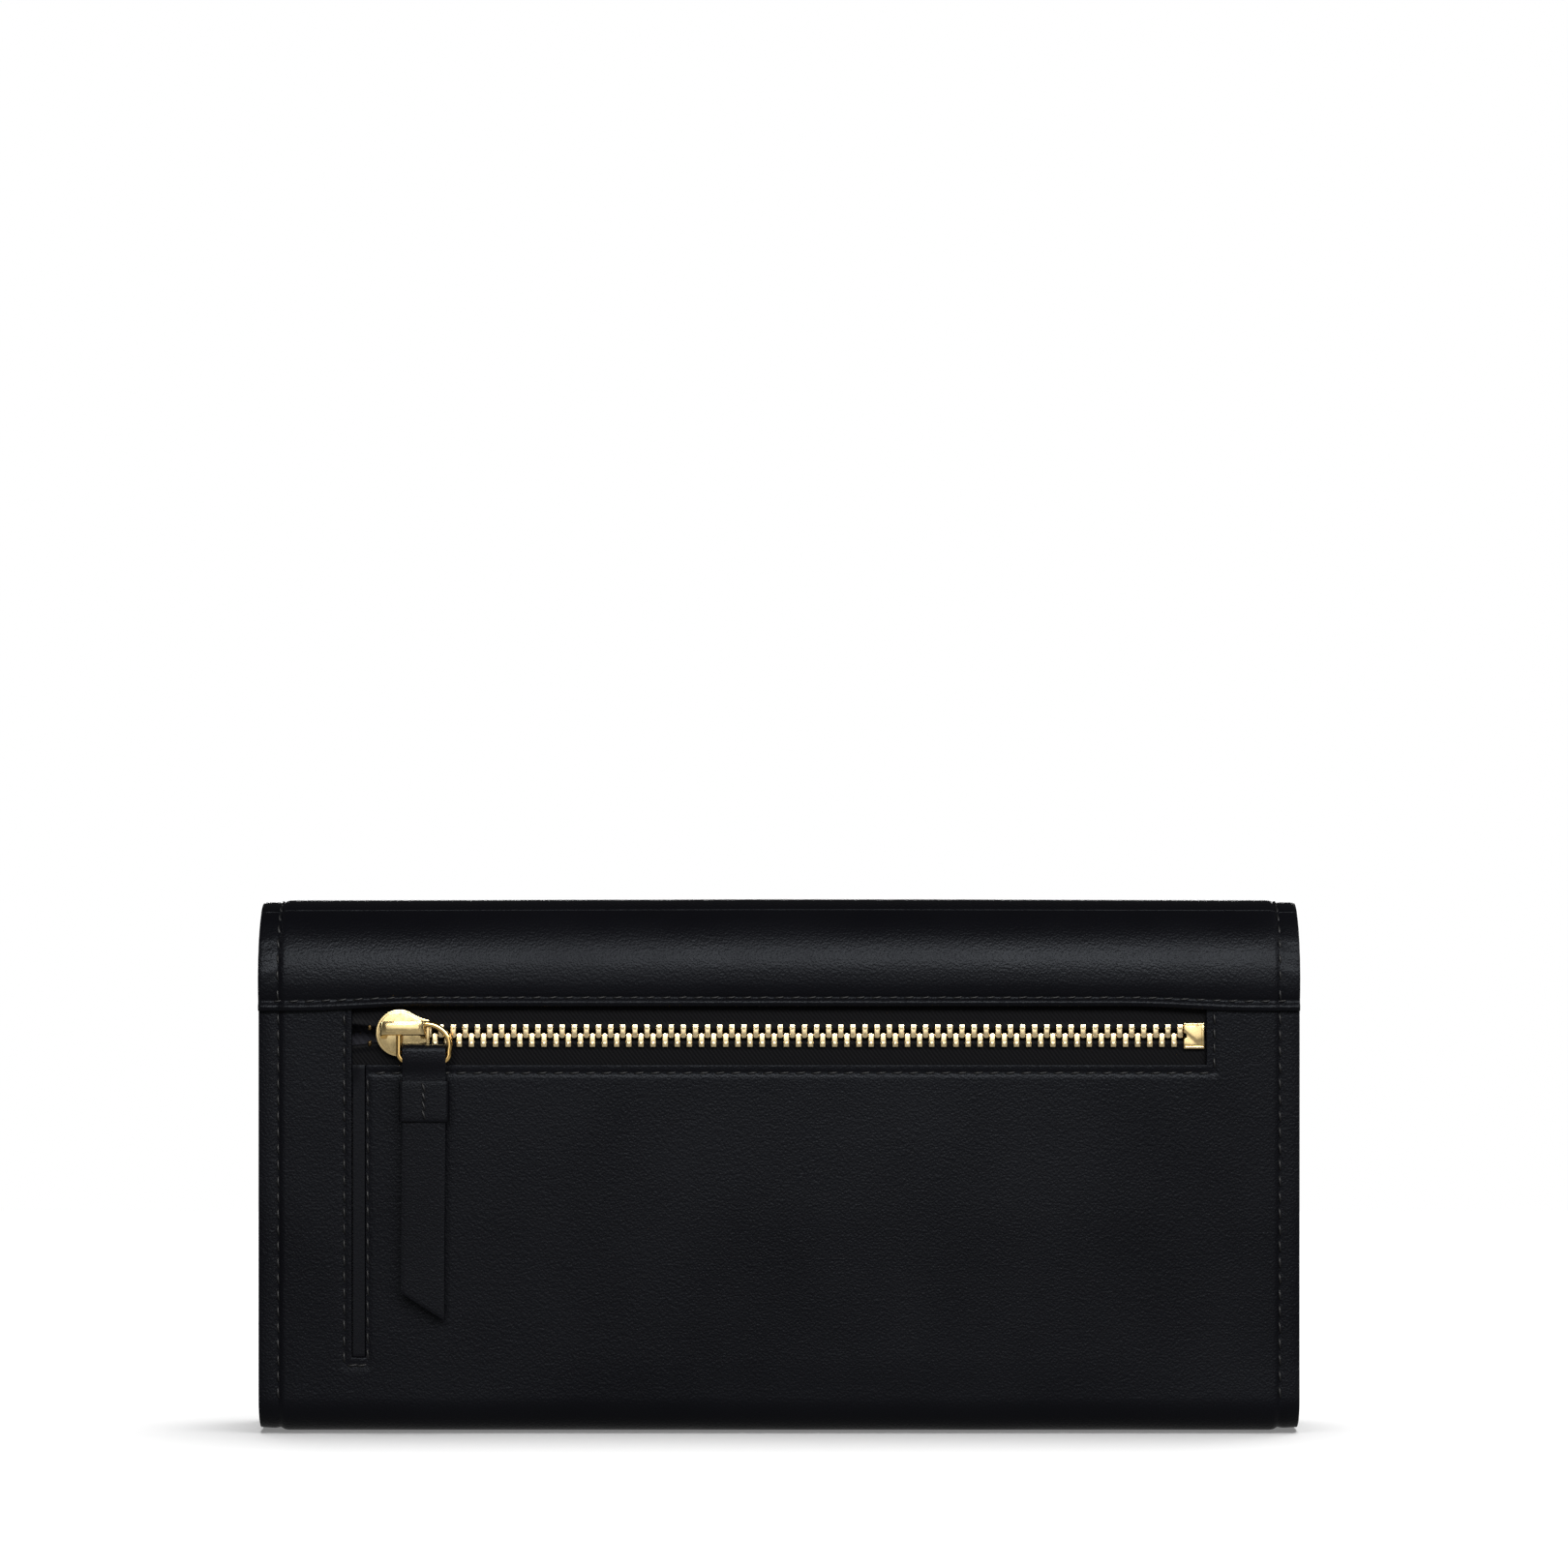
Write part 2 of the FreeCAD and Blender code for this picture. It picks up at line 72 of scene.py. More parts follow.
MM = 0.001
# A wave texture's scale counts radians, and this many make one rib
WAVE_RADIANS = 6.28


def box_mm(node):
    """The low and high corners of a node's box, in mm."""
    return [[c / MM for c in corner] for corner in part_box(node)]


def in_scene(name, data):
    """A new object for this mesh, light, curve or camera, linked into the scene."""
    made = bpy.data.objects.new(name, data)
    bpy.context.scene.collection.objects.link(made)
    return made


# ------------------------------------------------------------------ camera
# The purse is looked at square on from its zip side, a little under a metre away, from just above its top.
# The long lens keeps its outline straight.
camera_data = bpy.data.cameras.new("camera")
camera_data.lens = 124.0
camera_data.sensor_width = 36
camera = in_scene("camera", camera_data)
camera.location = (0.9 * MM, -0.997, 0.1185)
camera.rotation_euler = (math.radians(90), 0, 0)
bpy.context.scene.camera = camera


# ------------------------------------------------------------------ studio
# A sheet of white paper lies under a soft overhead box that lights only the paper. The purse has its own key
# box in front and above, a low card for its metal, and a box behind and at each side. The room it reflects is
# dim above and paler below, and white where the eye sees past it.
def linear(hex_colour):
    """sRGB hex to the linear colour that shaders take."""
    parts = [int(hex_colour[i:i + 2], 16) / 255 for i in (1, 3, 5)]
    return [c / 12.92 if c < 0.04045 else ((c + 0.055) / 1.055) ** 2.4 for c in parts] + [1.0]


def add_node(tree, kind, inputs=None, **settings):
    """Adds one node, with its settings, and its inputs as values or as sockets to link from."""
    made = tree.nodes.new(kind)
    for key, value in settings.items():
        setattr(made, key, value)
    for key, value in (inputs or {}).items():
        if isinstance(value, bpy.types.NodeSocket):
            tree.links.new(value, made.inputs[key])
        else:
            made.inputs[key].default_value = value
    return made


def relief(tree, height, strength, depth):
    """Grain raised from a height, up to this depth in mm, as a normal."""
    bump = add_node(tree, "ShaderNodeBump", {"Height": height, "Strength": strength, "Distance": depth * MM})
    return bump.outputs[0]


def uneven(tree, cloud, roughness):
    """A roughness that a cloudy pattern makes a little glossier here and duller there."""
    finish = add_node(tree, "ShaderNodeMapRange", {"Value": cloud, "From Min": 0.3, "From Max": 0.7,
                                                   "To Min": roughness - 0.05, "To Max": roughness + 0.07})
    return finish.outputs[0]


def new_material(name):
    material = bpy.data.materials.new(name)
    material.use_nodes = True
    material.node_tree.nodes.clear()
    return material, material.node_tree


world = bpy.data.worlds.new("studio")
bpy.context.scene.world = world
world.use_nodes = True
air = world.node_tree
air.nodes.clear()
to_eye = add_node(air, "ShaderNodeLightPath")
outward = add_node(air, "ShaderNodeTexCoord").outputs["Generated"]
height_seen = add_node(air, "ShaderNodeSeparateXYZ", {0: outward})
room_light = add_node(air, "ShaderNodeMapRange", {"Value": height_seen.outputs["Z"], "From Min": -0.4,
                                                  "From Max": 0.0, "To Min": 0.34, "To Max": 0.05})
dim_air = add_node(air, "ShaderNodeBackground", {"Color": linear("#ffffff"),
                                                 "Strength": room_light.outputs[0]})
white_air = add_node(air, "ShaderNodeBackground", {"Color": linear("#ffffff"), "Strength": 1.0})
seen_air = add_node(air, "ShaderNodeMixShader", {0: to_eye.outputs["Is Camera Ray"], 1: dim_air.outputs[0],
                                                 2: white_air.outputs[0]})
add_node(air, "ShaderNodeOutputWorld", {"Surface": seen_air.outputs[0]})
bpy.context.scene.view_settings.view_transform = "Standard"

paper, paper_tree = new_material("white_paper_sweep")
paper_shader = add_node(paper_tree, "ShaderNodeBsdfPrincipled",
                        {"Base Color": linear("#f4f4f4"), "Roughness": 0.9, "Specular IOR Level": 0.0,
                         "Emission Color": linear("#ffffff"), "Emission Strength": 0.2})
add_node(paper_tree, "ShaderNodeOutputMaterial", {"Surface": paper_shader.outputs[0]})
floor_mesh = bpy.data.meshes.new("floor")
floor_mesh.from_pydata([(-0.7, -0.32, 0), (0.7, -0.32, 0), (0.7, 0.5, 0), (-0.7, 0.5, 0)], [], [(0, 1, 2, 3)])
floor = in_scene("floor", floor_mesh)
floor.data.materials.append(paper)
floor.location.z = cad_bounds[0][2]
floor.visible_glossy = False
floor.visible_diffuse = False


def soft_box(name, place, aim, width, tall, watts):
    light = bpy.data.lights.new(name, "AREA")
    light.shape = "RECTANGLE"
    light.size = width
    light.size_y = tall
    light.energy = watts
    box = in_scene(name, light)
    box.location = place
    box.rotation_euler = (Vector(aim) - Vector(place)).to_track_quat("-Z", "Y").to_euler()
    return box


key_box = soft_box("key_box", (0.3, -1.38, 0.87), (0, 0, 0.08), 2.0, 0.5, 54)
low_card = soft_box("low_card", (0.0, -1.6, 0.17), (0, 0, 0.08), 1.4, 0.5, 2.4)
paper_box = soft_box("paper_box", (0.25, 0.3, 3.0), (0.25, 0.3, 0), 1.9, 1.9, 105)
only_paper = bpy.data.collections.new("only_paper")
only_paper.objects.link(floor)
paper_box.light_linking.receiver_collection = only_paper
all_but_paper = bpy.data.collections.new("all_but_paper")
all_but_paper.objects.link(floor)
all_but_paper.collection_objects[0].light_linking.link_state = "EXCLUDE"
key_box.light_linking.receiver_collection = all_but_paper
low_card.light_linking.receiver_collection = all_but_paper
for name, place, width, tall, power in (("back_box", (0.2, 1.5, 0.19), 1.8, 0.3, 15),
                                        ("left_box", (-1.5, 0.25, 0.6), 0.6, 0.6, 9),
                                        ("right_box", (1.5, 0.25, 0.6), 0.6, 0.6, 9)):
    side_light = soft_box(name, place, (0, 0, 0.05), width, tall, power)
    side_light.light_linking.receiver_collection = all_but_paper


# ------------------------------------------------------------------ cut and skived hide
# Every flat piece is cut from sheet hide or cloth: a grid of points laid along its path, given the sheet's
# thickness, with its cut edges rounded.
def grid_lines(low, high, step, fine=(), cuts=()):
    """Grid lines from low to high, closer in each (centre, reach, step) of fine, with a line on every cut."""
    kept = sorted({low, high, *[c for c in cuts if low < c < high]})
    wanted = [(centre + close * k, close) for centre, reach, close in fine
              for k in range(-int(reach / close), int(reach / close) + 1)]
    wanted += [(low + step * k, step) for k in range(int((high - low) / step) + 1)]
    for value, room in wanted:
        if not low < value < high:
            continue
        at = bisect(kept, value)
        if value - kept[at - 1] > 0.45 * room and kept[at] - value > 0.45 * room:
            kept.insert(at, value)
    return kept


def hide(name, us, vs, place, thickness, material, keep=None, round_edge=0.18):
    """A sheet whose outer face goes through place(u, v), in mm. It is thickened away from u x v."""
    points = [Vector(place(u, v)) * MM for v in vs for u in us]
    across = len(us)
    faces = []
    for j in range(len(vs) - 1):
        for i in range(across - 1):
            if keep and not keep((us[i] + us[i + 1]) / 2, (vs[j] + vs[j + 1]) / 2):
                continue
            a = j * across + i
            faces.append((a, a + 1, a + 1 + across, a + across))
    mesh = bpy.data.meshes.new(name)
    mesh.from_pydata(points, [], faces)
    made = bmesh.new()
    made.from_mesh(mesh)
    bmesh.ops.delete(made, geom=[v for v in made.verts if not v.link_faces], context="VERTS")
    made.to_mesh(mesh)
    made.free()
    piece = in_scene(name, mesh)
    thick = piece.modifiers.new("thickness", "SOLIDIFY")
    thick.thickness = thickness * MM
    thick.offset = -1
    if round_edge:
        bevel = piece.modifiers.new("rounded_edge", "BEVEL")
        bevel.width = round_edge * MM
        bevel.segments = 2
        bevel.limit_method = "ANGLE"
        bevel.angle_limit = math.radians(50)
    settle(piece)
    piece.data.materials.clear()
    piece.data.materials.append(material)
    return piece


def settle(piece):
    """Applies the modifiers and shades the piece smooth."""
    bpy.context.view_layer.update()
    ready = piece.evaluated_get(bpy.context.evaluated_depsgraph_get())
    mesh = bpy.data.meshes.new_from_object(ready)
    piece.modifiers.clear()
    piece.data = mesh
    piece.data.shade_smooth()


def ease(low, high, value):
    t = min(1.0, max(0.0, (value - low) / (high - low)))
    return t * t * (3 - 2 * t)


def dent(distance, width):
    return math.exp(-(distance / width) ** 2)


def calf_leather(name, colour, grain, roughness, bump):
    """Smooth calf, dyed through and wax finished: fine pebbled grain and a soft broken sheen."""
    material, tree = new_material(name)
    where = add_node(tree, "ShaderNodeTexCoord").outputs["Object"]
    pebble = add_node(tree, "ShaderNodeTexVoronoi", {"Vector": where, "Scale": 1000 / grain,
                                                     "Randomness": 0.9}, feature="SMOOTH_F1")
    crease = add_node(tree, "ShaderNodeTexNoise", {"Vector": where, "Scale": 1000 / (grain * 1.7),
                                                   "Detail": 5.0, "Roughness": 0.6})
    cloudy = add_node(tree, "ShaderNodeTexNoise", {"Vector": where, "Scale": 1000 / 26.0, "Detail": 3.0})
    height = add_node(tree, "ShaderNodeMix", {0: 0.45, "A": pebble.outputs["Distance"],
                                              "B": crease.outputs["Fac"]}, data_type="FLOAT")
    grain_relief = relief(tree, height.outputs[0], bump, 0.13)
    wax = uneven(tree, cloudy.outputs["Fac"], roughness)
    tone_mix = add_node(tree, "ShaderNodeMix", {0: cloudy.outputs["Fac"]}, data_type="RGBA")
    tone_mix.inputs[6].default_value = linear(colour)
    tone_mix.inputs[7].default_value = [c * 1.5 for c in linear(colour)[:3]] + [1.0]
    skin = add_node(tree, "ShaderNodeBsdfPrincipled",
                    {"Base Color": tone_mix.outputs[2], "Roughness": wax,
                     "Normal": grain_relief, "IOR": 1.45, "Specular IOR Level": 0.1,
                     "Specular Tint": (0.86, 0.92, 1.0, 1.0)})
    add_node(tree, "ShaderNodeOutputMaterial", {"Surface": skin.outputs[0]})
    return material


black_calf = calf_leather("black_calf_leather", "#050507", 0.38, 0.37, 0.9)

# Main sizes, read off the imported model, in mm
top_of_purse = cad_bounds[1][2] / MM
back_box = box_mm("back_panel")
band_box = box_mm("flap_back_leather")
front_box = box_mm("front_panel")
flap_box = box_mm("flap_front_leather")
half = back_box[1][0]
back_y = back_box[0][1]
crown_r = -band_box[0][1]
crown_z = top_of_purse - crown_r
seam_z = band_box[0][2]
flap_foot = flap_box[0][2]
hide_mm = crown_r + back_y
rear_r = 6.5
front_r = 5.0
seam_inset = 3.65
base_front = back_box[1][1]
front_y = front_box[1][1]
side_seam = half - seam_inset
stitch_pitch = 2.95


def side_band(x):
    """The edges beyond the side seams lie lower than the padded middle, and each seam pulls the hide in."""
    inside = half - abs(x)
    return (-0.38 * (1 - ease(2.9, 5.2, inside)) - 0.16 * dent(inside - (half - side_seam), 0.45)
            - 0.12 * (1 - ease(0, 0.6, inside)))


def needle(along, strength=0.1):
    """The small pucker that each stitch leaves."""
    return -strength * (0.5 + 0.5 * math.cos(2 * math.pi * along / stitch_pitch))


def travel(path, s):
    """A point and the outward normal at length s along a path of ('line', y, z, dy, dz, length) and
    ('arc', y, z, radius, first angle, sweep) parts, angles in degrees from +Y towards +Z."""
    for part in path:
        length = part[5] if part[0] == "line" else abs(math.radians(part[5])) * part[3]
        if s <= length or part is path[-1]:
            break
        s -= length
    if part[0] == "line":
        kind, y, z, dy, dz, length = part
        return y + dy * s, z + dz * s, -dz, dy
    kind, y, z, radius, first, sweep = part
    angle = math.radians(first) + math.copysign(s / radius, sweep)
    return y + radius * math.cos(angle), z + radius * math.sin(angle), math.cos(angle), math.sin(angle)


# ------------------------------------------------------------------ back panel
# One hide for the back and the base, cut with a long window for the zip and a narrow slot beside it.
# It is glued over thin foam, so its middle stands a little proud of its sewn edges.
tape_box = box_mm("zip_tape_upper")
lower_tape = box_mm("zip_tape_lower")
inlay_box = box_mm("slot_inlay")
window_half = -inlay_box[0][0] + 0.1
window_low = inlay_box[1][2]
window_high = seam_z + 0.6
slot_right = inlay_box[1][0] + 0.1
slot_low = inlay_box[0][2] - 0.1
base_length = base_front - (back_y + rear_r)
corner_length = math.pi / 2 * rear_r
back_path = [
    ("line", base_front, 0, -1, 0, base_length),
    ("arc", back_y + rear_r, rear_r, rear_r, 270, -90),
    ("line", back_y, rear_r, 0, 1, back_box[1][2] - rear_r),
]
rise = base_length + corner_length - rear_r
seam_under_zip = window_low - 1.5
seam_left = -window_half - 1.4
seam_right = window_half + 1.5
slot_seam = slot_right + 0.4
slot_seam_low = slot_low - 1.4


def pocket_seam_distance(x, z):
    """How far a point on the back is from the seam that runs round the slot and under the zip."""
    corners = [(seam_left, seam_z), (seam_left, slot_seam_low), (slot_seam, slot_seam_low),
               (slot_seam, seam_under_zip), (seam_right, seam_under_zip), (seam_right, seam_z)]
    best = math.inf
    for (xa, za), (xb, zb) in zip(corners, corners[1:]):
        span = math.hypot(xb - xa, zb - za)
        t = min(1, max(0, ((x - xa) * (xb - xa) + (z - za) * (zb - za)) / span ** 2))
        best = min(best, math.hypot(x - xa - t * (xb - xa), z - za - t * (zb - za)))
    return best


def back_place(x, s):
    y, z, ny, nz = travel(back_path, s)
    lift = side_band(x)
    flat = ease(4, 14, z)
    lift += flat * 0.16 * math.sin(x / 23 + 0.7) * math.sin(z / 17 + 0.4)
    lift += flat * 0.18 * ease(0, 40, half - abs(x)) * ease(0, 30, window_low - z)
    near = pocket_seam_distance(x, z)
    if near < 2.5 and z > slot_seam_low - 3:
        along = x if abs(z - seam_under_zip) < 1 else z
        lift -= dent(near, 0.5) * (0.13 - needle(along, 0.07))
    if abs(abs(x) - side_seam) < 1:
        lift += dent(abs(x) - side_seam, 0.4) * needle(z)
    return x, y + lift * ny, z + lift * nz


def back_keep(x, s):
    z = s - rise
    in_window = abs(x) < window_half and window_low < z < window_high
    in_slot = -window_half < x < slot_right and slot_low < z <= window_low
    return not (in_window or in_slot)


fine_at_sides = [(-side_seam, 1.4, 0.35), (side_seam, 1.4, 0.35)]
fine_at_pocket = [(x, 1.2, 0.35) for x in (seam_left, slot_seam, seam_right)]
back_us = grid_lines(-half, half, 1.9, fine_at_sides + fine_at_pocket,
                     [-window_half, window_half, slot_right])
back_vs = grid_lines(0, rise + back_box[1][2], 0.74, [(rise + seam_under_zip, 1.3, 0.3)],
                     [rise + window_low, rise + window_high, rise + slot_low])
back_hide = hide("back_hide", back_us, back_vs, back_place, hide_mm, black_calf, back_keep, 0.15)
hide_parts("back_panel")
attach(back_hide, "root")


# ------------------------------------------------------------------ slot inlay
# A strip of smoother hide glued behind the slot, a shade lighter than the back. Its left edge lifts a little
# low down and its top corner curls.
smooth_calf = calf_leather("smooth_inlay_leather", "#070709", 0.4, 0.36, 0.35)


def inlay_place(x, z):
    tilt = ease(inlay_box[1][0], inlay_box[0][0], x)
    curl = dent(x - inlay_box[0][0], 1.2) * dent(z - inlay_box[1][2], 2.2) * 0.7
    return x, inlay_box[0][1] - 0.12 * tilt * ease(45, 18, z) - curl + 0.05, z


inlay = hide("slot_inlay_strip", grid_lines(inlay_box[0][0], inlay_box[1][0], 0.25),
             grid_lines(inlay_box[0][2], inlay_box[1][2], 0.7), inlay_place, 0.6, smooth_calf, None, 0.12)
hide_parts("slot_inlay")
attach(inlay, "root")


# ------------------------------------------------------------------ flap
# One hide from its turned lower edge on the back, over the foam-filled top and down the front. It is sewn to
# the back at its lower edge. It is made in three lengths, which meet on the crown.
front_length = crown_z - flap_foot
turn_length = math.pi * crown_r
band_length = crown_z - seam_z
flap_path = [
    ("line", -crown_r, seam_z, 0, 1, band_length),
    ("arc", 0, crown_z, crown_r, 180, -180),
    ("line", crown_r, crown_z, 0, -1, front_length),
]
flap_total = band_length + turn_length + front_length
hem_line = 1.6
flap_corner = 8.0


def end_dip(x):
    """The flap's edge sits a little lower towards both ends."""
    return 0.9 * ease(64, 88, abs(x + 1))


def crumple(x, s):
    """Small creases where the bent top pulls on the side seams."""
    beyond = ease(7.5, 1.0, half - abs(x))
    wave = math.sin(1.9 * s + 0.5 * abs(x)) + 0.5 * math.sin(3.3 * s - 0.9 * abs(x) + 1)
    return 0.09 * beyond * wave * dent(s - band_length - 2.5, 5.5)


def flap_lift(x, s):
    lift = side_band(x) + crumple(x, s)
    lift += 0.38 * dent(s - 0.72, 0.5) - 0.22 * dent(s - hem_line, 0.42) + 0.12 * ease(2.2, 5.0, s)
    lift += 0.3 * ease(1.7, 4.0, s) * (1 - 0.95 * ease(3.0, 11, s))
    lift += dent(s - hem_line, 0.4) * needle(x, 0.12)
    if abs(abs(x) - side_seam) < 1:
        lift += dent(abs(x) - side_seam, 0.4) * needle(s)
    lift += 0.1 * math.sin(x / 31 + 1.3) * ease(3, 9, s) * ease(flap_total, flap_total - 10, s)
    below = flap_total - s
    edge = ease(6.5, 3.2, below)
    lift -= 0.3 * edge + 0.15 * dent(below - (half - side_seam), 0.45)
    return lift


def flap_place(x, s, sink=0.0):
    y, z, ny, nz = travel(flap_path, s)
    lift = flap_lift(x, s) - sink
    below = end_dip(x) * ease(5, 0, s)
    corner = 0
    from_side = max(half - abs(x), 0.25)
    from_foot = flap_total - s
    if from_side < flap_corner and from_foot < flap_corner:
        corner = flap_corner - math.sqrt(flap_corner ** 2 - (flap_corner - from_side) ** 2)
        corner *= 1 - from_foot / flap_corner
    return x, y + lift * ny, z + lift * nz - below + corner


turn_starts = [0, band_length + turn_length / 3, band_length + 2 * turn_length / 3]
turn_ends = turn_starts[1:] + [flap_total]
turn_nodes = [("flap_back_leather", "flap_turn_1_leather"), ("flap_turn_2_leather",), ("flap_front_leather",)]
lining_nodes = [("flap_back_lining", "flap_turn_1_lining"), ("flap_turn_2_lining",), ("flap_lining",)]


def bend_with_turn(piece):
    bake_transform(piece)


flap_us = grid_lines(-half, half, 1.5, fine_at_sides + [(-half + 4, 4, 0.8), (half - 4, 4, 0.8)])
foot_seam = flap_total - seam_inset
for k in range(3):
    s0, s1 = turn_starts[k], turn_ends[k]
    fine = [(s0, 1.2, 0.3), (s1, 1.2, 0.3), (1.2, 1.4, 0.25), (foot_seam, 1.2, 0.35)]
    outer = hide(f"flap_hide_{k + 1}", flap_us, grid_lines(s0, s1, 0.85, fine), flap_place, 0.9, black_calf,
                 None, 0 if k == 1 else 0.15)
    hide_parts(*turn_nodes[k])
    bend_with_turn(outer)


# ------------------------------------------------------------------ flap lining
# Twill cloth bonded to foam, glued to the inside of the flap and cut short of the hide all round. A round
# hole lets the press stud's socket through.
def twill(name, colour, thread, roughness=0.75):
    """Woven twill: fine diagonal ribs with a slight sheen. Its colour holds painted shade: lighter on the
    raised threads and darker in the grooves between them.
    """
    material, tree = new_material(name)
    where = add_node(tree, "ShaderNodeTexCoord").outputs["Object"]
    turned = add_node(tree, "ShaderNodeMapping", {"Vector": where, "Rotation": (0.0, math.radians(38), 0.2)})
    ribs = add_node(tree, "ShaderNodeTexWave",
                    {"Vector": turned.outputs[0], "Scale": 1000 / thread / WAVE_RADIANS,
                     "Distortion": 1.2, "Detail": 2.0, "Detail Scale": 2.0})
    fuzz = add_node(tree, "ShaderNodeTexNoise", {"Vector": where, "Scale": 1000 / 0.5, "Detail": 4.0})
    height = add_node(tree, "ShaderNodeMix", {0: 0.3, "A": ribs.outputs["Fac"], "B": fuzz.outputs["Fac"]},
                      data_type="FLOAT")
    weave_relief = relief(tree, height.outputs[0], 0.4, 0.09)
    # Painted shade: the weave's height colours the raised threads lighter and the grooves darker; the fuzz in
    # it adds random tone.
    tone_mix = add_node(tree, "ShaderNodeMix", {0: height.outputs[0]}, data_type="RGBA")
    tone_mix.inputs[6].default_value = linear(colour)
    tone_mix.inputs[7].default_value = [c * 1.9 for c in linear(colour)[:3]] + [1.0]
    cloth = add_node(tree, "ShaderNodeBsdfPrincipled",
                     {"Base Color": tone_mix.outputs[2], "Roughness": roughness, "Normal": weave_relief,
                      "Specular IOR Level": 0.06})
    add_node(tree, "ShaderNodeOutputMaterial", {"Surface": cloth.outputs[0]})
    return material


lining_twill = twill("charcoal_twill_lining", "#1c1c20", 0.5)
lining_edge = 1.2
lining_sink = 0.95
socket_hole_r = 5.6
lining_us = grid_lines(-half + lining_edge, half - lining_edge, 2.4, [(0, 8, 0.8)])
socket_z = (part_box("snap_socket")[0][2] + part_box("snap_socket")[1][2]) / 2 / MM
socket_s = flap_total - (socket_z - flap_foot)


def lining_place(x, s):
    return flap_place(x, s, lining_sink)


def lining_keep(x, s):
    return math.hypot(x, s - socket_s) > socket_hole_r


for k in range(3):
    s0 = turn_starts[k] if k else 3.2
    s1 = turn_ends[k] if k < 2 else flap_total - lining_edge
    lining_vs = grid_lines(s0, s1, 1.1, [(socket_s, 8, 0.8)])
    inner = hide(f"flap_inside_{k + 1}", lining_us, lining_vs, lining_place, 1.0, lining_twill, lining_keep,
                 0)
    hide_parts(*lining_nodes[k])
    bend_with_turn(inner)


# ------------------------------------------------------------------ front panel
# The front wall's hide turns under at the base. It is glued to its board and sewn near its edges, and carries
# the press stud under the flap.
front_seam = 3.6
stud_hole_r = 4.6
front_path = [
    ("line", front_y, front_box[1][2], 0, -1, front_box[1][2] - front_r),
    ("arc", front_y - front_r, front_r, front_r, 0, -90),
]


def front_place(x, s):
    y, z, ny, nz = travel(front_path, s)
    lift = side_band(x) * 0.8 + 0.05 * math.sin(x / 29) * math.sin(z / 19)
    lift -= 0.12 * dent(s - front_seam, 0.4)
    return x, y + lift * ny, z + lift * nz


def front_keep(x, s):
    return math.hypot(x, front_box[1][2] - s - socket_z) > stud_hole_r


front_total = front_box[1][2] - front_r + math.pi / 2 * front_r
front_us = grid_lines(-half, half, 2.0, [(-side_seam, 1.2, 0.4), (side_seam, 1.2, 0.4), (0, 6, 0.7)])
front_vs = grid_lines(0, front_total, 1.0, [(front_seam, 1.0, 0.35), (front_box[1][2] - socket_z, 6, 0.7)])
front_hide = hide("front_hide", front_us, front_vs, front_place, hide_mm, black_calf, front_keep)
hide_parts("front_panel")
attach(front_hide, "front_wall")


# ------------------------------------------------------------------ stitching
# Waxed black thread, one lock stitch every 2.95 mm. Each stitch is a short fat strand that sinks at both
# ends, and each line of them moves with the hide that it is sewn through.
def waxed_thread():
    """Bonded polyester thread: black, glossier than the hide it sits in."""
    material, tree = new_material("waxed_black_thread")
    where = add_node(tree, "ShaderNodeTexCoord").outputs["Object"]
    ply = add_node(tree, "ShaderNodeTexWave",
                   {"Vector": where, "Scale": 1000 / 0.25 / WAVE_RADIANS, "Distortion": 0.5},
                   bands_direction="DIAGONAL")
    ply_relief = relief(tree, ply.outputs["Fac"], 0.4, 0.03)
    strand = add_node(tree, "ShaderNodeBsdfPrincipled",
                      {"Base Color": linear("#060607"), "Roughness": 0.5, "Specular IOR Level": 0.3,
                       "Normal": ply_relief})
    add_node(tree, "ShaderNodeOutputMaterial", {"Surface": strand.outputs[0]})
    return material


thread = waxed_thread()
thread_r = 0.24
stitch_reach = 1.1


def stitches(name, places, slant=0.1):
    """One mesh of stitches. places holds (point, direction, normal) in mm."""
    verts, faces = [], []
    rings, sides = 7, 6
    for point, along, normal in places:
        normal = Vector(normal).normalized()
        along = (Vector(along).normalized() + normal.cross(Vector(along)).normalized() * slant).normalized()
        side = normal.cross(along)
        first = len(verts)
        for i in range(rings):
            t = -1 + 2 * i / (rings - 1)
            radius = thread_r * (0.45 + 0.55 * math.sqrt(max(0.0, 1 - t * t)))
            centre = Vector(point) + along * (stitch_reach * t) + normal * (0.16 - 0.3 * t * t)
            for j in range(sides):
                a = 2 * math.pi * j / sides
                verts.append((centre + side * radius * math.cos(a) + normal * radius * math.sin(a)) * MM)
        for i in range(rings - 1):
            for j in range(sides):
                a, b = first + i * sides + j, first + i * sides + (j + 1) % sides
                faces.append((a, b, b + sides, a + sides))
        faces.append([first + j for j in reversed(range(sides))])
        faces.append([first + (rings - 1) * sides + j for j in range(sides)])
    mesh = bpy.data.meshes.new(name)
    mesh.from_pydata(verts, [], faces)
    mesh.shade_smooth()
    piece = in_scene(name, mesh)
    piece.data.materials.append(thread)
    return piece


def along_run(place, start, end, pitch=stitch_pitch):
    """Stitch places along a straight run of a sheet's own (u, v), one pitch apart."""
    (ua, va), (ub, vb) = start, end
    span = math.hypot(ub - ua, vb - va)
    count = max(1, round(span / pitch))
    found = []
    for k in range(count):
        t = (k + 0.5) / count
        u, v = ua + (ub - ua) * t, va + (vb - va) * t
        du, dv = (ub - ua) / span * 0.2, (vb - va) / span * 0.2
        here, ahead = Vector(place(u, v)), Vector(place(u + du, v + dv))
        wide, tall = Vector(place(u + 0.2, v)) - here, Vector(place(u, v + 0.2)) - here
        found.append((here, ahead - here, wide.cross(tall)))
    return found


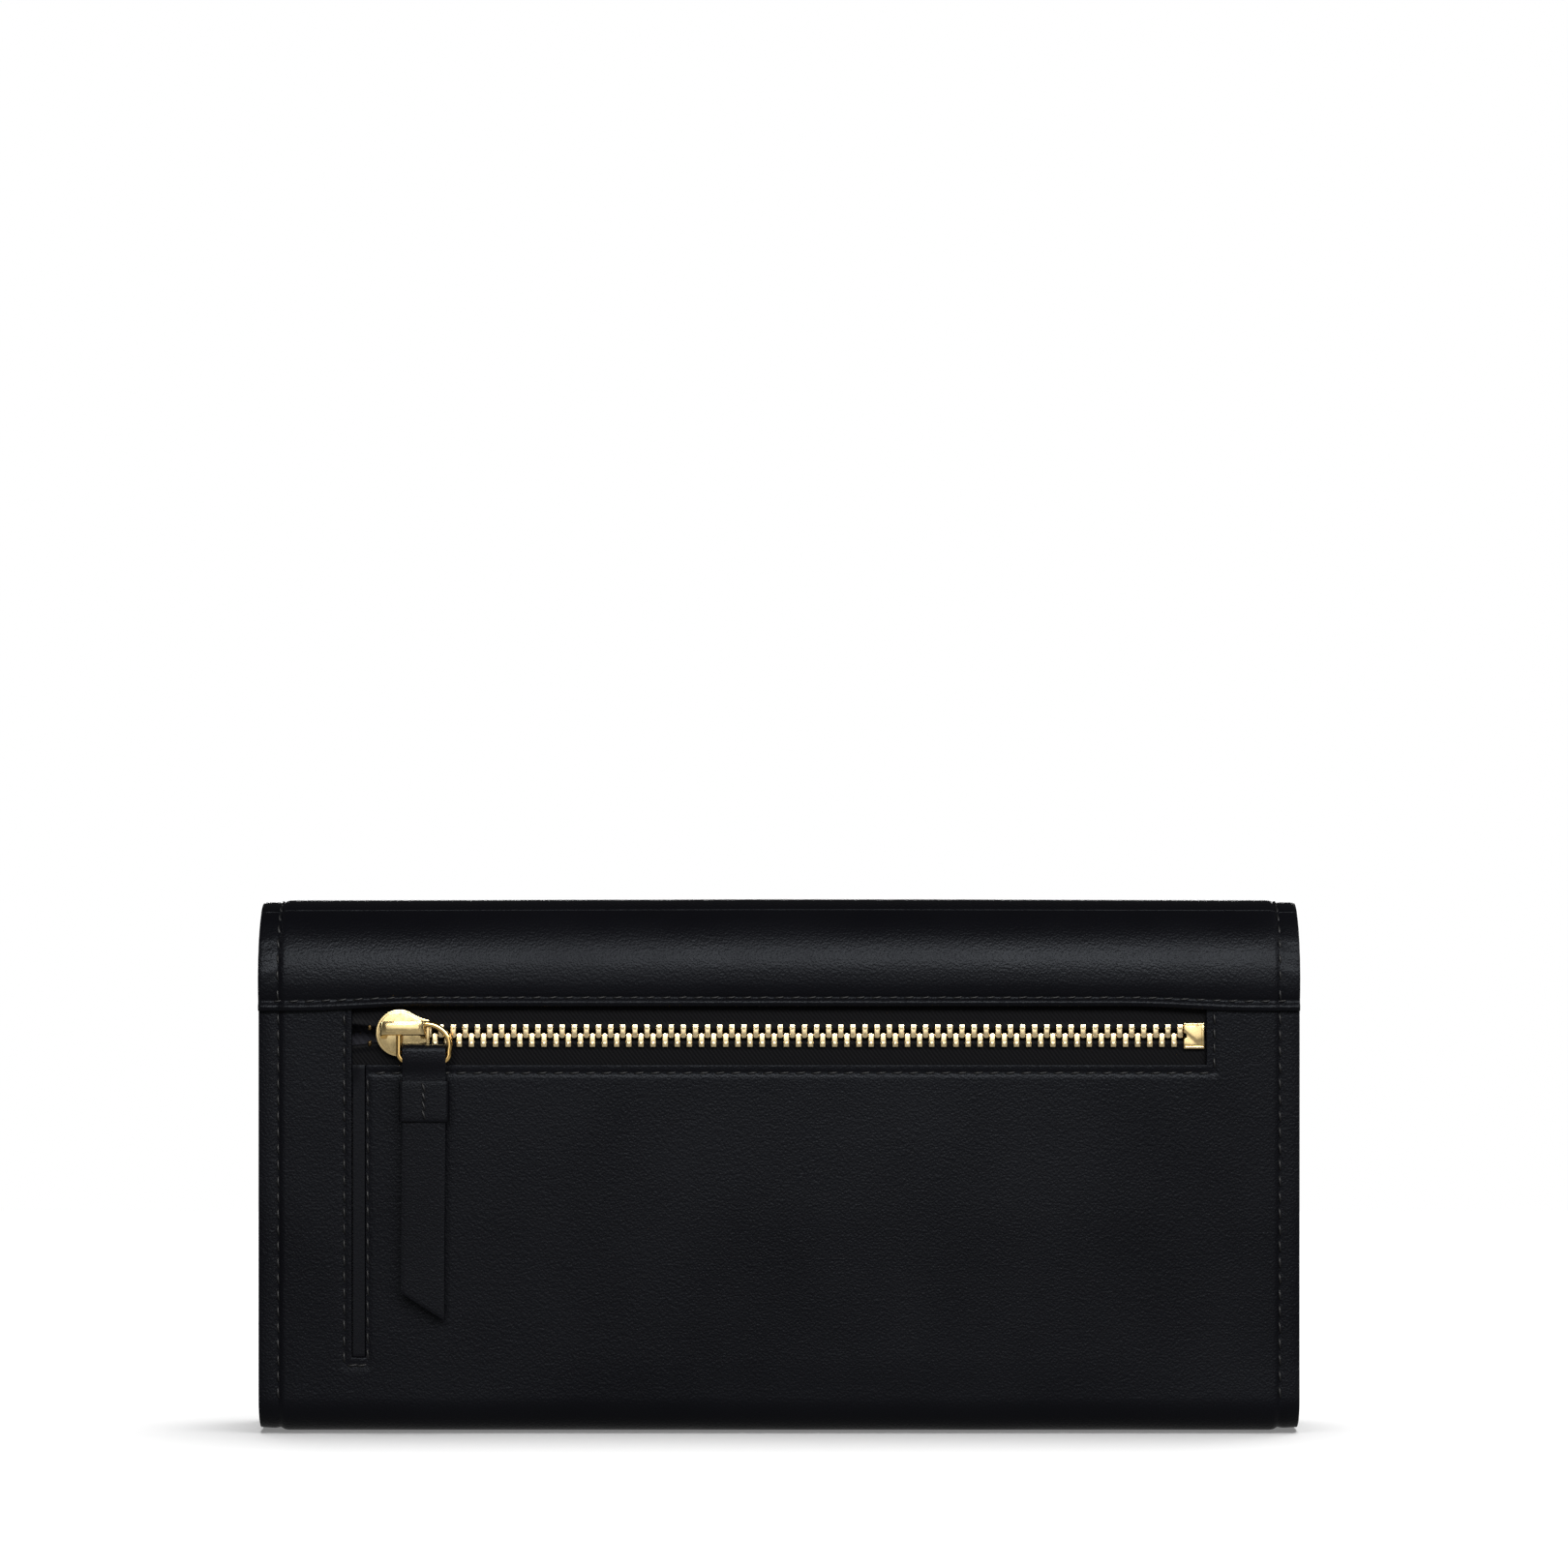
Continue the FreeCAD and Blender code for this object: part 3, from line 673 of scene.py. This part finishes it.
slot_foot = rise + slot_seam_low
under_zip = rise + seam_under_zip
band_edge = rise + seam_z
back_runs = along_run(back_place, (-side_seam, rise + 6), (-side_seam, band_edge - 0.8))
back_runs += along_run(back_place, (side_seam, rise + 6), (side_seam, band_edge - 0.8))
back_runs += along_run(back_place, (seam_left, slot_foot), (seam_left, band_edge - 1))
back_runs += along_run(back_place, (seam_left + 0.6, slot_foot), (slot_seam - 0.3, slot_foot), 2.2)
back_runs += along_run(back_place, (slot_seam, slot_foot + 0.6), (slot_seam, under_zip - 0.6))
back_runs += along_run(back_place, (slot_seam + 0.8, under_zip), (seam_right - 0.5, under_zip))
back_runs += along_run(back_place, (seam_right, under_zip + 0.5), (seam_right, band_edge - 1))
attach(stitches("back_stitching", back_runs), "root")

for k in range(3):
    s0, s1 = turn_starts[k], turn_ends[k]
    runs = []
    for x in (-side_seam, side_seam):
        runs += along_run(flap_place, (x, max(s0, 0.9)), (x, min(s1, flap_total - 9)))
    if k == 0:
        runs += along_run(flap_place, (-half + 2, hem_line), (half - 2, hem_line))
    if k == 2:
        runs += along_run(flap_place, (-side_seam + 6, foot_seam), (side_seam - 6, foot_seam))
    bend_with_turn(stitches(f"flap_stitching_{k + 1}", runs))

front_runs = along_run(front_place, (-half + 5, front_seam), (half - 5, front_seam))
for x in (-side_seam, side_seam):
    front_runs += along_run(front_place, (x, 5), (x, front_box[1][2] - 7))
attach(stitches("front_stitching", front_runs), "front_wall")


# ------------------------------------------------------------------ zip tapes
# Black herringbone tape, one on each side, sewn in behind the window of the back hide, with a corded edge
# that the teeth grip. Near the window's left end each tape draws back a little from the middle.
zip_tape = twill("black_zip_tape", "#020203", 0.3, 0.6)
zip_z = (tape_box[0][2] + lower_tape[1][2]) / 2
tape_y = tape_box[0][1]
tape_half = tape_box[1][0]
tooth_pitch = 2.21


def zip_tape_piece(name, node, side):
    box = box_mm(node)
    low, high = box[0][2], box[1][2]
    edge = low if side > 0 else high

    def place(x, z):
        cord = 0.32 * dent(z - edge - side * 0.35, 0.45)
        rib = 0.05 * math.sin(2 * math.pi * x / tooth_pitch) * dent(z - edge, 1.8)
        open_end = side * 0.9 * ease(-window_half + 8.5, -window_half - 1, x) * dent(z - edge, 4)
        return x, tape_y - cord - rib + 0.05, z + open_end

    piece = hide(name, grid_lines(-tape_half, tape_half, 0.7), grid_lines(low, high, 0.55), place, 0.5,
                 zip_tape, None, 0)
    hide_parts(node)
    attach(piece, "root")
    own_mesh(piece)


zip_tape_piece("tape_upper", "zip_tape_upper", 1)
zip_tape_piece("tape_lower", "zip_tape_lower", -1)


# ------------------------------------------------------------------ gold fittings
# Zinc and brass parts, polished and plated in pale gold. Their edges are rounded by the tumbling that comes
# before the plate.
def gold_plate(name, colour, roughness):
    """Pale gold plate over polished metal: bright, with faint polishing haze."""
    material, tree = new_material(name)
    where = add_node(tree, "ShaderNodeTexCoord").outputs["Object"]
    haze = add_node(tree, "ShaderNodeTexNoise", {"Vector": where, "Scale": 1000 / 1.1, "Detail": 4.0})
    shine = uneven(tree, haze.outputs["Fac"], roughness)
    haze_relief = relief(tree, haze.outputs["Fac"], 0.12, 0.03)
    metal = add_node(tree, "ShaderNodeBsdfPrincipled",
                     {"Base Color": linear(colour), "Metallic": 1.0, "Roughness": shine,
                      "Normal": haze_relief})
    add_node(tree, "ShaderNodeOutputMaterial", {"Surface": metal.outputs[0]})
    return material


pale_gold = gold_plate("pale_gold_plate", "#ffe2a4", 0.2)
gold_wire = gold_plate("gold_wire", "#ffd486", 0.14)
tooth_gold = gold_plate("gold_zip_teeth", "#ffe6b4", 0.25)


def metal_piece(name, verts, faces, material, bevel, segments=2):
    mesh = bpy.data.meshes.new(name)
    mesh.from_pydata([Vector(v) * MM for v in verts], [], faces)
    made = bmesh.new()
    made.from_mesh(mesh)
    bmesh.ops.remove_doubles(made, verts=made.verts, dist=1e-6)
    bmesh.ops.recalc_face_normals(made, faces=made.faces)
    made.to_mesh(mesh)
    made.free()
    piece = in_scene(name, mesh)
    if bevel:
        rounding = piece.modifiers.new("rounding", "BEVEL")
        rounding.width = bevel * MM
        rounding.segments = segments
        rounding.limit_method = "ANGLE"
        rounding.angle_limit = math.radians(35)
        weighted = piece.modifiers.new("face_normals", "WEIGHTED_NORMAL")
        weighted.keep_sharp = True
    settle(piece)
    piece.data.materials.append(material)
    return piece


def prism(outline, y0, y1):
    """Corners and faces of an (x, z) outline drawn from y0 to y1."""
    n = len(outline)
    verts = [(x, y0, z) for x, z in outline] + [(x, y1, z) for x, z in outline]
    faces = [list(range(n)), list(range(2 * n - 1, n - 1, -1))]
    faces += [(i, (i + 1) % n, n + (i + 1) % n, n + i) for i in range(n)]
    return verts, faces


def shifted(parts):
    """Several (verts, faces) as one."""
    verts, faces = [], []
    for vs, fs in parts:
        faces += [[i + len(verts) for i in f] for f in fs]
        verts += vs
    return verts, faces


# ------------------------------------------------------------------ teeth
# Each tooth is pressed from flat gold-plated wire: two legs closed on the tape's cord and a rounded head that
# interlocks.
tooth_half = 0.52
tooth_reach = 2.05
teeth_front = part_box("zip_teeth_upper")[0][1] / MM
teeth_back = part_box("zip_teeth_upper")[1][1] / MM


def tooth(x, side):
    head = [(tooth_half * 1.05 * math.sin(math.radians(a)), -0.02 - 0.42 * math.cos(math.radians(a)))
            for a in (-75, -45, -15, 15, 45, 75)]
    outline = head + [(tooth_half * 0.92, 0.75), (tooth_half, 1.15), (tooth_half * 0.94, tooth_reach),
                      (-tooth_half * 0.94, tooth_reach), (-tooth_half, 1.15), (-tooth_half * 0.92, 0.75)]
    return [(x + px, zip_z + side * pz) for px, pz in outline]


def tooth_row(name, node, side):
    box = box_mm(node)
    last = box[1][0] - 0.5
    count = int((last - box[0][0]) / tooth_pitch) + 1
    parts = []
    for k in range(count):
        x = last - k * tooth_pitch
        parts.append(prism(tooth(x, side), teeth_front, teeth_back))
        dimple = [(x + px * 0.3, zip_z + side * (1.45 + pz * 0.32))
                  for px, pz in ((-1, -1), (1, -1), (1, 1), (-1, 1))]
        parts.append(prism(dimple, teeth_front - 0.07, teeth_front + 0.1))
    row = metal_piece(name, *shifted(parts), tooth_gold, 0.13)
    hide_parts(node)
    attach(row, "root")
    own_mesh(row)


tooth_row("teeth_upper", "zip_teeth_upper", 1)
tooth_row("teeth_lower", "zip_teeth_lower", -1)


# ------------------------------------------------------------------ bottom stop and top stops
# The bottom stop is a small cast box with a raised rim, closed over both tapes. The top stops are gold clips
# bent round the tapes' cords, one on each tape, coloured a dark dull brown as painted shade where the
# window's end hides them.
stop_box = box_mm("zip_bottom_stop")
(sx0, sy0, sz0), (sx1, sy1, sz1) = stop_box
notch = 0.55
notched = [(sx0, zip_z + notch), (sx0 + 0.5, zip_z + notch * 0.6), (sx0 + 0.5, zip_z - notch * 0.6),
           (sx0, zip_z - notch)]
block = prism([(sx0, sz0), (sx1, sz0), (sx1, sz1), (sx0, sz1), *notched], sy0, sy1)
rim = 0.42
bars = [prism([(a, c), (b, c), (b, d), (a, d)], sy0 - 0.16, sy0 + 0.3) for a, b, c, d in
        ((sx0 + 0.15, sx1 - 0.1, sz1 - rim - 0.1, sz1 - 0.1),
         (sx0 + 0.15, sx1 - 0.1, sz0 + 0.1, sz0 + rim + 0.1),
         (sx1 - rim - 0.1, sx1 - 0.1, sz0 + rim, sz1 - rim))]
end_box = metal_piece("zip_end_box", *shifted([block, *bars]), pale_gold, 0.14)
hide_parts("zip_bottom_stop")
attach(end_box, "root")
clip_box = box_mm("zip_top_stops")
clip_x = clip_box[0][0] + 0.55
# Painted shade: the clips' gold is darkened to a dim brown, for the shade at the window's end.
shaded_clip_gold = gold_plate("clip_gold_painted_shade", "#4a3c26", 0.42)
clips = []
for side in (1, -1):
    z0 = zip_z + side * 0.95
    clips.append(prism([(clip_x - 0.34, z0), (clip_x + 0.34, z0), (clip_x + 0.3, z0 + side * 1.0),
                        (clip_x - 0.3, z0 + side * 1.0)], clip_box[0][1] + 0.25, clip_box[1][1]))
top_clips = metal_piece("zip_top_clips", *shifted(clips), shaded_clip_gold, 0.2)
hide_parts("zip_top_stops")
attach(top_clips, "root")


# ------------------------------------------------------------------ slider
# Cast and polished: two plates joined by a post, and an arch on the face that the ring threads through.
# The pull tips it a little, so the arch stands above the plate's middle.
body_box = box_mm("slider_body")
arch_box = box_mm("slider_bridge")
slider_r = (body_box[1][2] - body_box[0][2]) / 2
slider_x = body_box[0][0] + slider_r
tail_x = body_box[1][0]
chain_y = (body_box[0][1] + body_box[1][1]) / 2
plate_y = body_box[0][1]
plate_mm = 0.85
lean = 0.33


def leaned(verts):
    """Points on the face side lean upwards with their distance from the chain."""
    return [(x, y, z + lean * max(0.0, chain_y - 1.0 - y) + 0.25 * ease(0, 1, chain_y - y))
            for x, y, z in verts]


def slider_plan(inset):
    r = slider_r - inset
    arc = [(slider_x + r * math.cos(math.radians(a)), zip_z + r * math.sin(math.radians(a)))
           for a in range(62, 300, 7)]
    tail = 2.35 - inset
    x1 = tail_x - inset
    ax, az = slider_x + r * math.cos(math.radians(62)), r * math.sin(math.radians(62))
    waist = [(ax + (x1 - ax) * t, az + (tail - az) * (t + 0.55 * t * (1 - t))) for t in (0.2, 0.4, 0.6, 0.8)]
    top = [(x, zip_z + z) for x, z in waist] + [(x1, zip_z + tail)]
    bottom = [(x, 2 * zip_z - z) for x, z in top]
    return arc + bottom + top[::-1]


face_plate = prism(slider_plan(0), plate_y, plate_y + plate_mm)
raised_face = prism(slider_plan(0.45), plate_y - 0.22, plate_y + 0.2)
back_plate = prism(slider_plan(0), body_box[1][1] - plate_mm, body_box[1][1])
post_r = 0.8
post_plan = [(slider_x - 0.6 + post_r * math.cos(math.pi / 6 * a), zip_z + post_r * math.sin(math.pi / 6 * a))
             for a in range(12)]
post = prism(post_plan, plate_y + 0.3, body_box[1][1] - 0.3)
ax0, ax1 = arch_box[0][0], arch_box[1][0]
az0, az1 = arch_box[0][2], arch_box[1][2]
arch_y = arch_box[0][1]
arch_mm, leg = 0.9, 1.1
steps = [(0, 1.1), (0.25, 0.45), (0.9, 0.0)]
arch_side = [(ax0 + dx, arch_y + dy) for dx, dy in steps]
arch_side += [(ax1 - dx, arch_y + dy) for dx, dy in reversed(steps)]
arch_side += [(ax1, plate_y + 0.2), (ax1 - leg, plate_y + 0.2), (ax1 - leg, arch_y + arch_mm + 0.3),
              (ax1 - leg - 0.4, arch_y + arch_mm), (ax0 + leg + 0.4, arch_y + arch_mm),
              (ax0 + leg, arch_y + arch_mm + 0.3), (ax0 + leg, plate_y + 0.2), (ax0, plate_y + 0.2)]


def arch_prism(points, z0, z1):
    n = len(points)
    verts = [(x, y, z0) for x, y in points] + [(x, y, z1) for x, y in points]
    faces = [(i, (i + 1) % n, n + (i + 1) % n, n + i) for i in range(n)]
    faces += [list(range(n)), list(range(2 * n - 1, n - 1, -1))]
    return verts, faces


arch = arch_prism(arch_side, az0, az1)
panel = prism([(ax0 + 1.25, az0 + 0.4), (ax1 - 1.25, az0 + 0.4), (ax1 - 1.05, (az0 + az1) / 2),
               (ax1 - 1.25, az1 - 0.4), (ax0 + 1.25, az1 - 0.4), (ax0 + 1.05, (az0 + az1) / 2)],
              arch_y - 0.14, arch_y + 0.3)
verts, faces = shifted([face_plate, raised_face, back_plate, post, arch, panel])
slider = metal_piece("zip_slider", leaned(verts), faces, pale_gold, 0.16, 3)
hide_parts("slider_body", "slider_bridge")
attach(slider, "slider")


# ------------------------------------------------------------------ ring
# One piece of round gold wire bent to a D: straight through the arch, round outside, its ends turned in at
# the foot, where the pull is folded round it.
ring_box = box_mm("pull_ring")
wire = 1.12
ring_y = (ring_box[0][1] + ring_box[1][1]) / 2
rx0, rx1 = ring_box[0][0] + wire / 2, ring_box[1][0] - wire / 2
rz0, rz1 = ring_box[0][2] + wire / 2 - 0.2, ring_box[1][2] - wire / 2


def bent_wire(name, points, diameter):
    curve = bpy.data.curves.new(name, "CURVE")
    curve.dimensions = "3D"
    spline = curve.splines.new("BEZIER")
    spline.bezier_points.add(len(points) - 1)
    for knot, (point, before, after) in zip(spline.bezier_points, points):
        knot.co = Vector(point) * MM
        knot.handle_left = Vector(before) * MM
        knot.handle_right = Vector(after) * MM
    spline.use_cyclic_u = True
    spline.resolution_u = 16
    curve.bevel_depth = diameter / 2 * MM
    curve.bevel_resolution = 5
    curve.use_fill_caps = True
    piece = in_scene(name, curve)
    bpy.context.view_layer.update()
    mesh = bpy.data.meshes.new_from_object(piece.evaluated_get(bpy.context.evaluated_depsgraph_get()))
    bpy.data.objects.remove(piece)
    solid = in_scene(name, mesh)
    solid.data.shade_smooth()
    solid.data.materials.clear()
    solid.data.materials.append(gold_wire)
    return solid


def knot(x, z, dx, dz, back, ahead):
    """A point on the ring with handles back and ahead along (dx, dz)."""
    return (x, ring_y, z), (x - dx * back, ring_y, z - dz * back), (x + dx * ahead, ring_y, z + dz * ahead)


ring = bent_wire("gold_ring", [
    knot(rx0, rz0 + 1.4, 0, 1, 0.7, 1.6),
    knot(rx0, rz1 - 1.6, 0, 1, 1.6, 0.9),
    knot(rx0 + 1.7, rz1, 1, 0, 0.9, 1.0),
    knot(rx1 - 4.2, rz1, 1, 0, 1.0, 2.2),
    knot(rx1, rz1 - 3.7, 0, -1, 1.9, 1.0),
    knot(rx1 - 0.15, rz0 + 1.3, 0, -1, 1.2, 0.7),
    knot(rx1 - 1.4, rz0, -1, 0, 0.6, 2.0),
    knot(rx0 + 1.4, rz0, -1, 0, 2.0, 0.6),
], wire)
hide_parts("pull_ring")
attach(ring, "ring")


# ------------------------------------------------------------------ leather pull
# A strip of hide folded round the ring's foot, its two layers sewn together under the keeper and cut on a
# slant at the end.
loop_box = box_mm("pull_loop")
pull_box = box_mm("pull_strap")
keeper_box = box_mm("pull_keeper")
px0, px1 = loop_box[0][0], loop_box[1][0]
pull_hide = 0.8
fold_r = (loop_box[1][1] - loop_box[0][1]) / 2
fold_z = loop_box[1][2] - fold_r
neck_z = loop_box[0][2]
tip_z = pull_box[0][2]
slant = 5.0
layer = pull_hide + 0.03
pull_leather = calf_leather("pull_leather", "#060608", 0.34, 0.38, 0.8)


def pull_layer(z):
    """Half the gap between the two outer faces: wide at the ring, closed below it."""
    return layer + (fold_r - layer) * ease(rz0 - 2.4, rz0 + 0.4, z)


def pull_settle(z):
    """The free end hangs closer to the back panel."""
    return 0.3 * ease(neck_z - 4, tip_z + 4, z)


fold_share = 0.06


def pull_place(x, v):
    """v runs from -1 at the inner layer's end, over the fold at 0, to 1 at the outer layer's end."""
    dip = 0.07 * dent(min(x - px0, px1 - x), 0.5) * (-1 if v < 0 else 1)
    if abs(v) < fold_share:
        around = math.pi / 2 * v / fold_share
        return x, ring_y - fold_r * math.sin(around) + dip, fold_z + fold_r * math.cos(around)
    end = tip_z + slant * (px1 - x) / (px1 - px0)
    z = fold_z + (end - fold_z) * (abs(v) - fold_share) / (1 - fold_share)
    drift = -0.3 * ease(neck_z, tip_z, fold_z - abs(v) * (fold_z - tip_z))
    side = -1 if v > 0 else 1
    return x + drift, ring_y + side * pull_layer(z) + pull_settle(z) + dip, z


pull_vs = [-1 + k / 56 for k in range(113)]
pull_vs = sorted(set(pull_vs + [-fold_share + 0.01 * k for k in range(13)]))
pull_us = grid_lines(px0, px1, 0.5, [(px0, 1.0, 0.2), (px1, 1.0, 0.2)])
pull = hide("folded_pull", pull_us, pull_vs[::-1], pull_place, pull_hide, pull_leather, None, 0.14)
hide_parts("pull_loop", "pull_strap")
pull_mid = (px0 + px1) / 2
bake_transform(pull)


# ------------------------------------------------------------------ keeper
# A short band of the same hide wrapped round the pull's two layers and sewn through them, with four stitches
# up its middle.
keeper_top, keeper_low = keeper_box[1][2], keeper_box[0][2]
keeper_half_x = (keeper_box[1][0] - keeper_box[0][0]) / 2
keeper_half_y = (keeper_box[1][1] - keeper_box[0][1]) / 2
keeper_r = 0.75
keeper_y = ring_y + pull_settle((keeper_top + keeper_low) / 2)
flat_x, flat_y = keeper_half_x - keeper_r, keeper_half_y - keeper_r
keeper_round = [(1, 1, 0), (-1, 1, 90), (-1, -1, 180), (1, -1, 270)]


def keeper_place(u, z):
    """u goes once round the band, from 0 to 4, a corner and a side at a time."""
    k = int(min(u, 3.9999))
    t = u - k
    sx, sy, first = keeper_round[k]
    if t < 0.5:
        a = math.radians(first + 180 * t)
        x, y = sx * flat_x + keeper_r * math.cos(a), sy * flat_y + keeper_r * math.sin(a)
    else:
        nx, ny, _ = keeper_round[(k + 1) % 4]
        a = math.radians(first + 90)
        w = (t - 0.5) / 0.5
        x = (sx * (1 - w) + nx * w) * flat_x + keeper_r * math.cos(a)
        y = (sy * (1 - w) + ny * w) * flat_y + keeper_r * math.sin(a)
    pinch = 0.12 * dent(x, 0.8) * (1 if y < 0 else 0)
    end = 0.06 * dent(min(z - keeper_low, keeper_top - z), 0.4)
    return pull_mid + x, keeper_y + y + pinch + (end if y < 0 else -end), z


keeper_us = [k / 16 for k in range(65)]
band = hide("pull_band", keeper_us, grid_lines(keeper_low, keeper_top, 0.4), keeper_place, 0.55, pull_leather,
            None, 0.12)
welded = bmesh.new()
welded.from_mesh(band.data)
bmesh.ops.remove_doubles(welded, verts=welded.verts, dist=2e-6)
welded.to_mesh(band.data)
welded.free()
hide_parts("pull_keeper")
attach(band, "strap")
keeper_runs = along_run(lambda x, z: (x, keeper_y - keeper_half_y + 0.1, z), (pull_mid, keeper_low + 0.5),
                        (pull_mid, keeper_top - 0.4), 1.75)
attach(stitches("band_stitching", keeper_runs, 0.35), "strap")


# ------------------------------------------------------------------ inside walls and pockets
# Card pockets are skived hide, and the walls behind them twill over board. Each top edge is turned and sewn
# 2.6 mm down, and a seam up the middle parts each pocket into two.
top_seam = 2.6
inner_calf = calf_leather("inner_calf_leather", "#0e0e11", 0.5, 0.42, 0.4)


def inside_sheet(name, node, material, facing, middle_seam=False):
    """A flat wall or pocket in its node's own box. facing is +1 for a face towards the flap's front."""
    (x0, y0, z0), (x1, y1, z1) = box_mm(node)
    outer = y1 if facing > 0 else y0
    thick = (y1 - y0) * 0.96

    def place(u, z):
        x = -u if facing > 0 else u
        lift = -0.05 * dent(z1 - z, 0.7) - 0.06 * dent(z1 - top_seam - z, 0.35)
        if middle_seam:
            lift -= 0.08 * dent(x, 0.5)
        return x, outer + facing * (lift - 0.02), z

    us = grid_lines(-x1, -x0, 4, [(0, 1.2, 0.4)]) if facing > 0 else grid_lines(x0, x1, 4, [(0, 1.2, 0.4)])
    vs = grid_lines(z0, z1, 3, [(z1 - top_seam, 1.0, 0.3)], [z1 - 0.5])
    return place, hide(name, us, vs, place, thick, material, None, 0.12), (x0, x1, z0, z1)


def pocket(name, node, body, facing):
    place, piece, (x0, x1, z0, z1) = inside_sheet(name, node, inner_calf, facing, True)
    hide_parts(node)
    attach(piece, body)
    runs = along_run(place, (x0 + 3, z1 - top_seam), (x1 - 3, z1 - top_seam))
    runs += along_run(place, (0, z0 + 3), (0, z1 - 3.5))
    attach(stitches(f"{name}_stitching", runs), body)


for row in range(1, 5):
    pocket(f"rear_pocket_{row}", f"rear_card_panel_{row}", "root", 1)
for row in range(1, 3):
    pocket(f"front_pocket_{row}", f"front_card_panel_{row}", "front_wall", -1)
walls = [("rear_wall", "rear_divider", "root", 1), ("front_wall_lining", "front_lining", "front_wall", -1),
         ("divider_wall", "divider_board", "centre_divider", -1),
         ("coin_lining_outer", "coin_pocket_outer_lining", "root", 1),
         ("coin_lining_inner", "coin_pocket_inner_lining", "root", -1)]
for name, node, body, facing in walls:
    _, piece, _ = inside_sheet(name, node, lining_twill, facing)
    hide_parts(node)
    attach(piece, body)


# ------------------------------------------------------------------ divider window
# A hide frame sewn on the centre divider round a clear vinyl window. The film fills the frame's opening and
# is held at its edges.
(fx0, fy0, fz0), (fx1, fy1, fz1) = box_mm("id_window_frame")
(wx0, wy0, wz0), (wx1, wy1, wz1) = box_mm("id_window_film")


def window_place(u, z):
    x = -u
    near = min(abs(x - wx0), abs(x - wx1)) if wz0 - 3 < z < wz1 + 3 else 9
    if wx0 - 3 < x < wx1 + 3:
        near = min(near, abs(z - wz0), abs(z - wz1))
    return x, fy1 - 0.02 - 0.07 * dent(near - 2, 0.4) - 0.05 * dent(near, 0.5), z


def window_keep(u, z):
    return not (wx0 < -u < wx1 and wz0 < z < wz1)


frame_us = grid_lines(-fx1, -fx0, 4, [(-wx0 + 2, 1, 0.3), (-wx1 - 2, 1, 0.3)], [-wx0, -wx1])
frame_vs = grid_lines(fz0, fz1, 3, [(wz0 - 2, 1, 0.3), (wz1 + 2, 1, 0.3)], [wz0, wz1])
window_frame = hide("window_frame", frame_us, frame_vs, window_place, (fy1 - fy0) * 0.95, inner_calf,
                    window_keep, 0.12)
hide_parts("id_window_frame")
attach(window_frame, "centre_divider")
frame_runs = []
for start, end in (((-wx1 - 2, wz0 - 2), (-wx1 - 2, wz1 + 2)), ((-wx0 + 2, wz0 - 2), (-wx0 + 2, wz1 + 2)),
                   ((-wx1 - 2, wz0 - 2), (-wx0 + 2, wz0 - 2)), ((-wx1 - 2, wz1 + 2), (-wx0 + 2, wz1 + 2))):
    frame_runs += along_run(window_place, start, end)
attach(stitches("window_stitching", frame_runs), "centre_divider")

vinyl, vinyl_tree = new_material("clear_vinyl_film")
ripple = add_node(vinyl_tree, "ShaderNodeTexNoise", {"Scale": 1000 / 18.0})
film_relief = relief(vinyl_tree, ripple.outputs["Fac"], 0.2, 0.3)
film = add_node(vinyl_tree, "ShaderNodeBsdfPrincipled",
                {"Base Color": linear("#e8ecee"), "Roughness": 0.12, "IOR": 1.5, "Alpha": 0.28,
                 "Normal": film_relief})
add_node(vinyl_tree, "ShaderNodeOutputMaterial", {"Surface": film.outputs[0]})


def gusset(name, node, side):
    (x0, y0, z0), (x1, y1, z1) = box_mm(node)
    reach = x1 - x0

    def place(t, z):
        fold = math.sqrt((2 * t - 1) ** 2 + 0.012) / math.sqrt(1.012)
        depth = reach * (1 - fold) * (0.35 + 0.65 * ease(z0, z0 + 22, z))
        x = (x1 - 0.3 - depth) if side > 0 else (x0 + 0.3 + depth)
        return x, y0 + 0.3 + (y1 - y0 - 0.6) * t, z

    ts = [k / 30 for k in range(31)]
    if side < 0:
        ts.reverse()
    piece = hide(name, ts, grid_lines(z0, z1, 2.5, [], [z1 - 0.6]), place, 0.5, inner_calf, None, 0.1)
    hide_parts(node)
    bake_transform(piece)


for end, side in (("left", -1), ("right", 1)):
    for room in ("rear", "front"):
        gusset(f"side_fold_{room}_{end}", f"gusset_{room}_{end}", side)


# ------------------------------------------------------------------ hidden parts
# Stiffeners are grey fibre board, glued between the hides and their linings. The press stud is plated like
# the zip, and its two halves are riveted through the front wall and the flap.
fibre, fibre_tree = new_material("grey_fibre_board")
fibre_where = add_node(fibre_tree, "ShaderNodeTexCoord").outputs["Object"]
flecks = add_node(fibre_tree, "ShaderNodeTexNoise",
                  {"Vector": fibre_where, "Scale": 1000 / 0.8, "Detail": 6.0})
board_colour = add_node(fibre_tree, "ShaderNodeValToRGB", {"Fac": flecks.outputs["Fac"]})
board_colour.color_ramp.elements[0].color = linear("#1d1c1b")
board_colour.color_ramp.elements[1].color = linear("#343230")
board_relief = relief(fibre_tree, flecks.outputs["Fac"], 0.4, 0.1)
board = add_node(fibre_tree, "ShaderNodeBsdfPrincipled",
                 {"Base Color": board_colour.outputs[0], "Roughness": 0.85, "Normal": board_relief})
add_node(fibre_tree, "ShaderNodeOutputMaterial", {"Surface": board.outputs[0]})

kept = {
    "base_strip": fibre, "back_stiffener": fibre, "flap_board": fibre, "front_stiffener": fibre,
    "coin_pocket_edges": lining_twill, "id_window_film": vinyl, "snap_stud": pale_gold,
    "snap_backplate": pale_gold, "snap_socket": pale_gold,
}
for node, material in kept.items():
    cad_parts[node].data.materials.clear()
    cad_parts[node].data.materials.append(material)
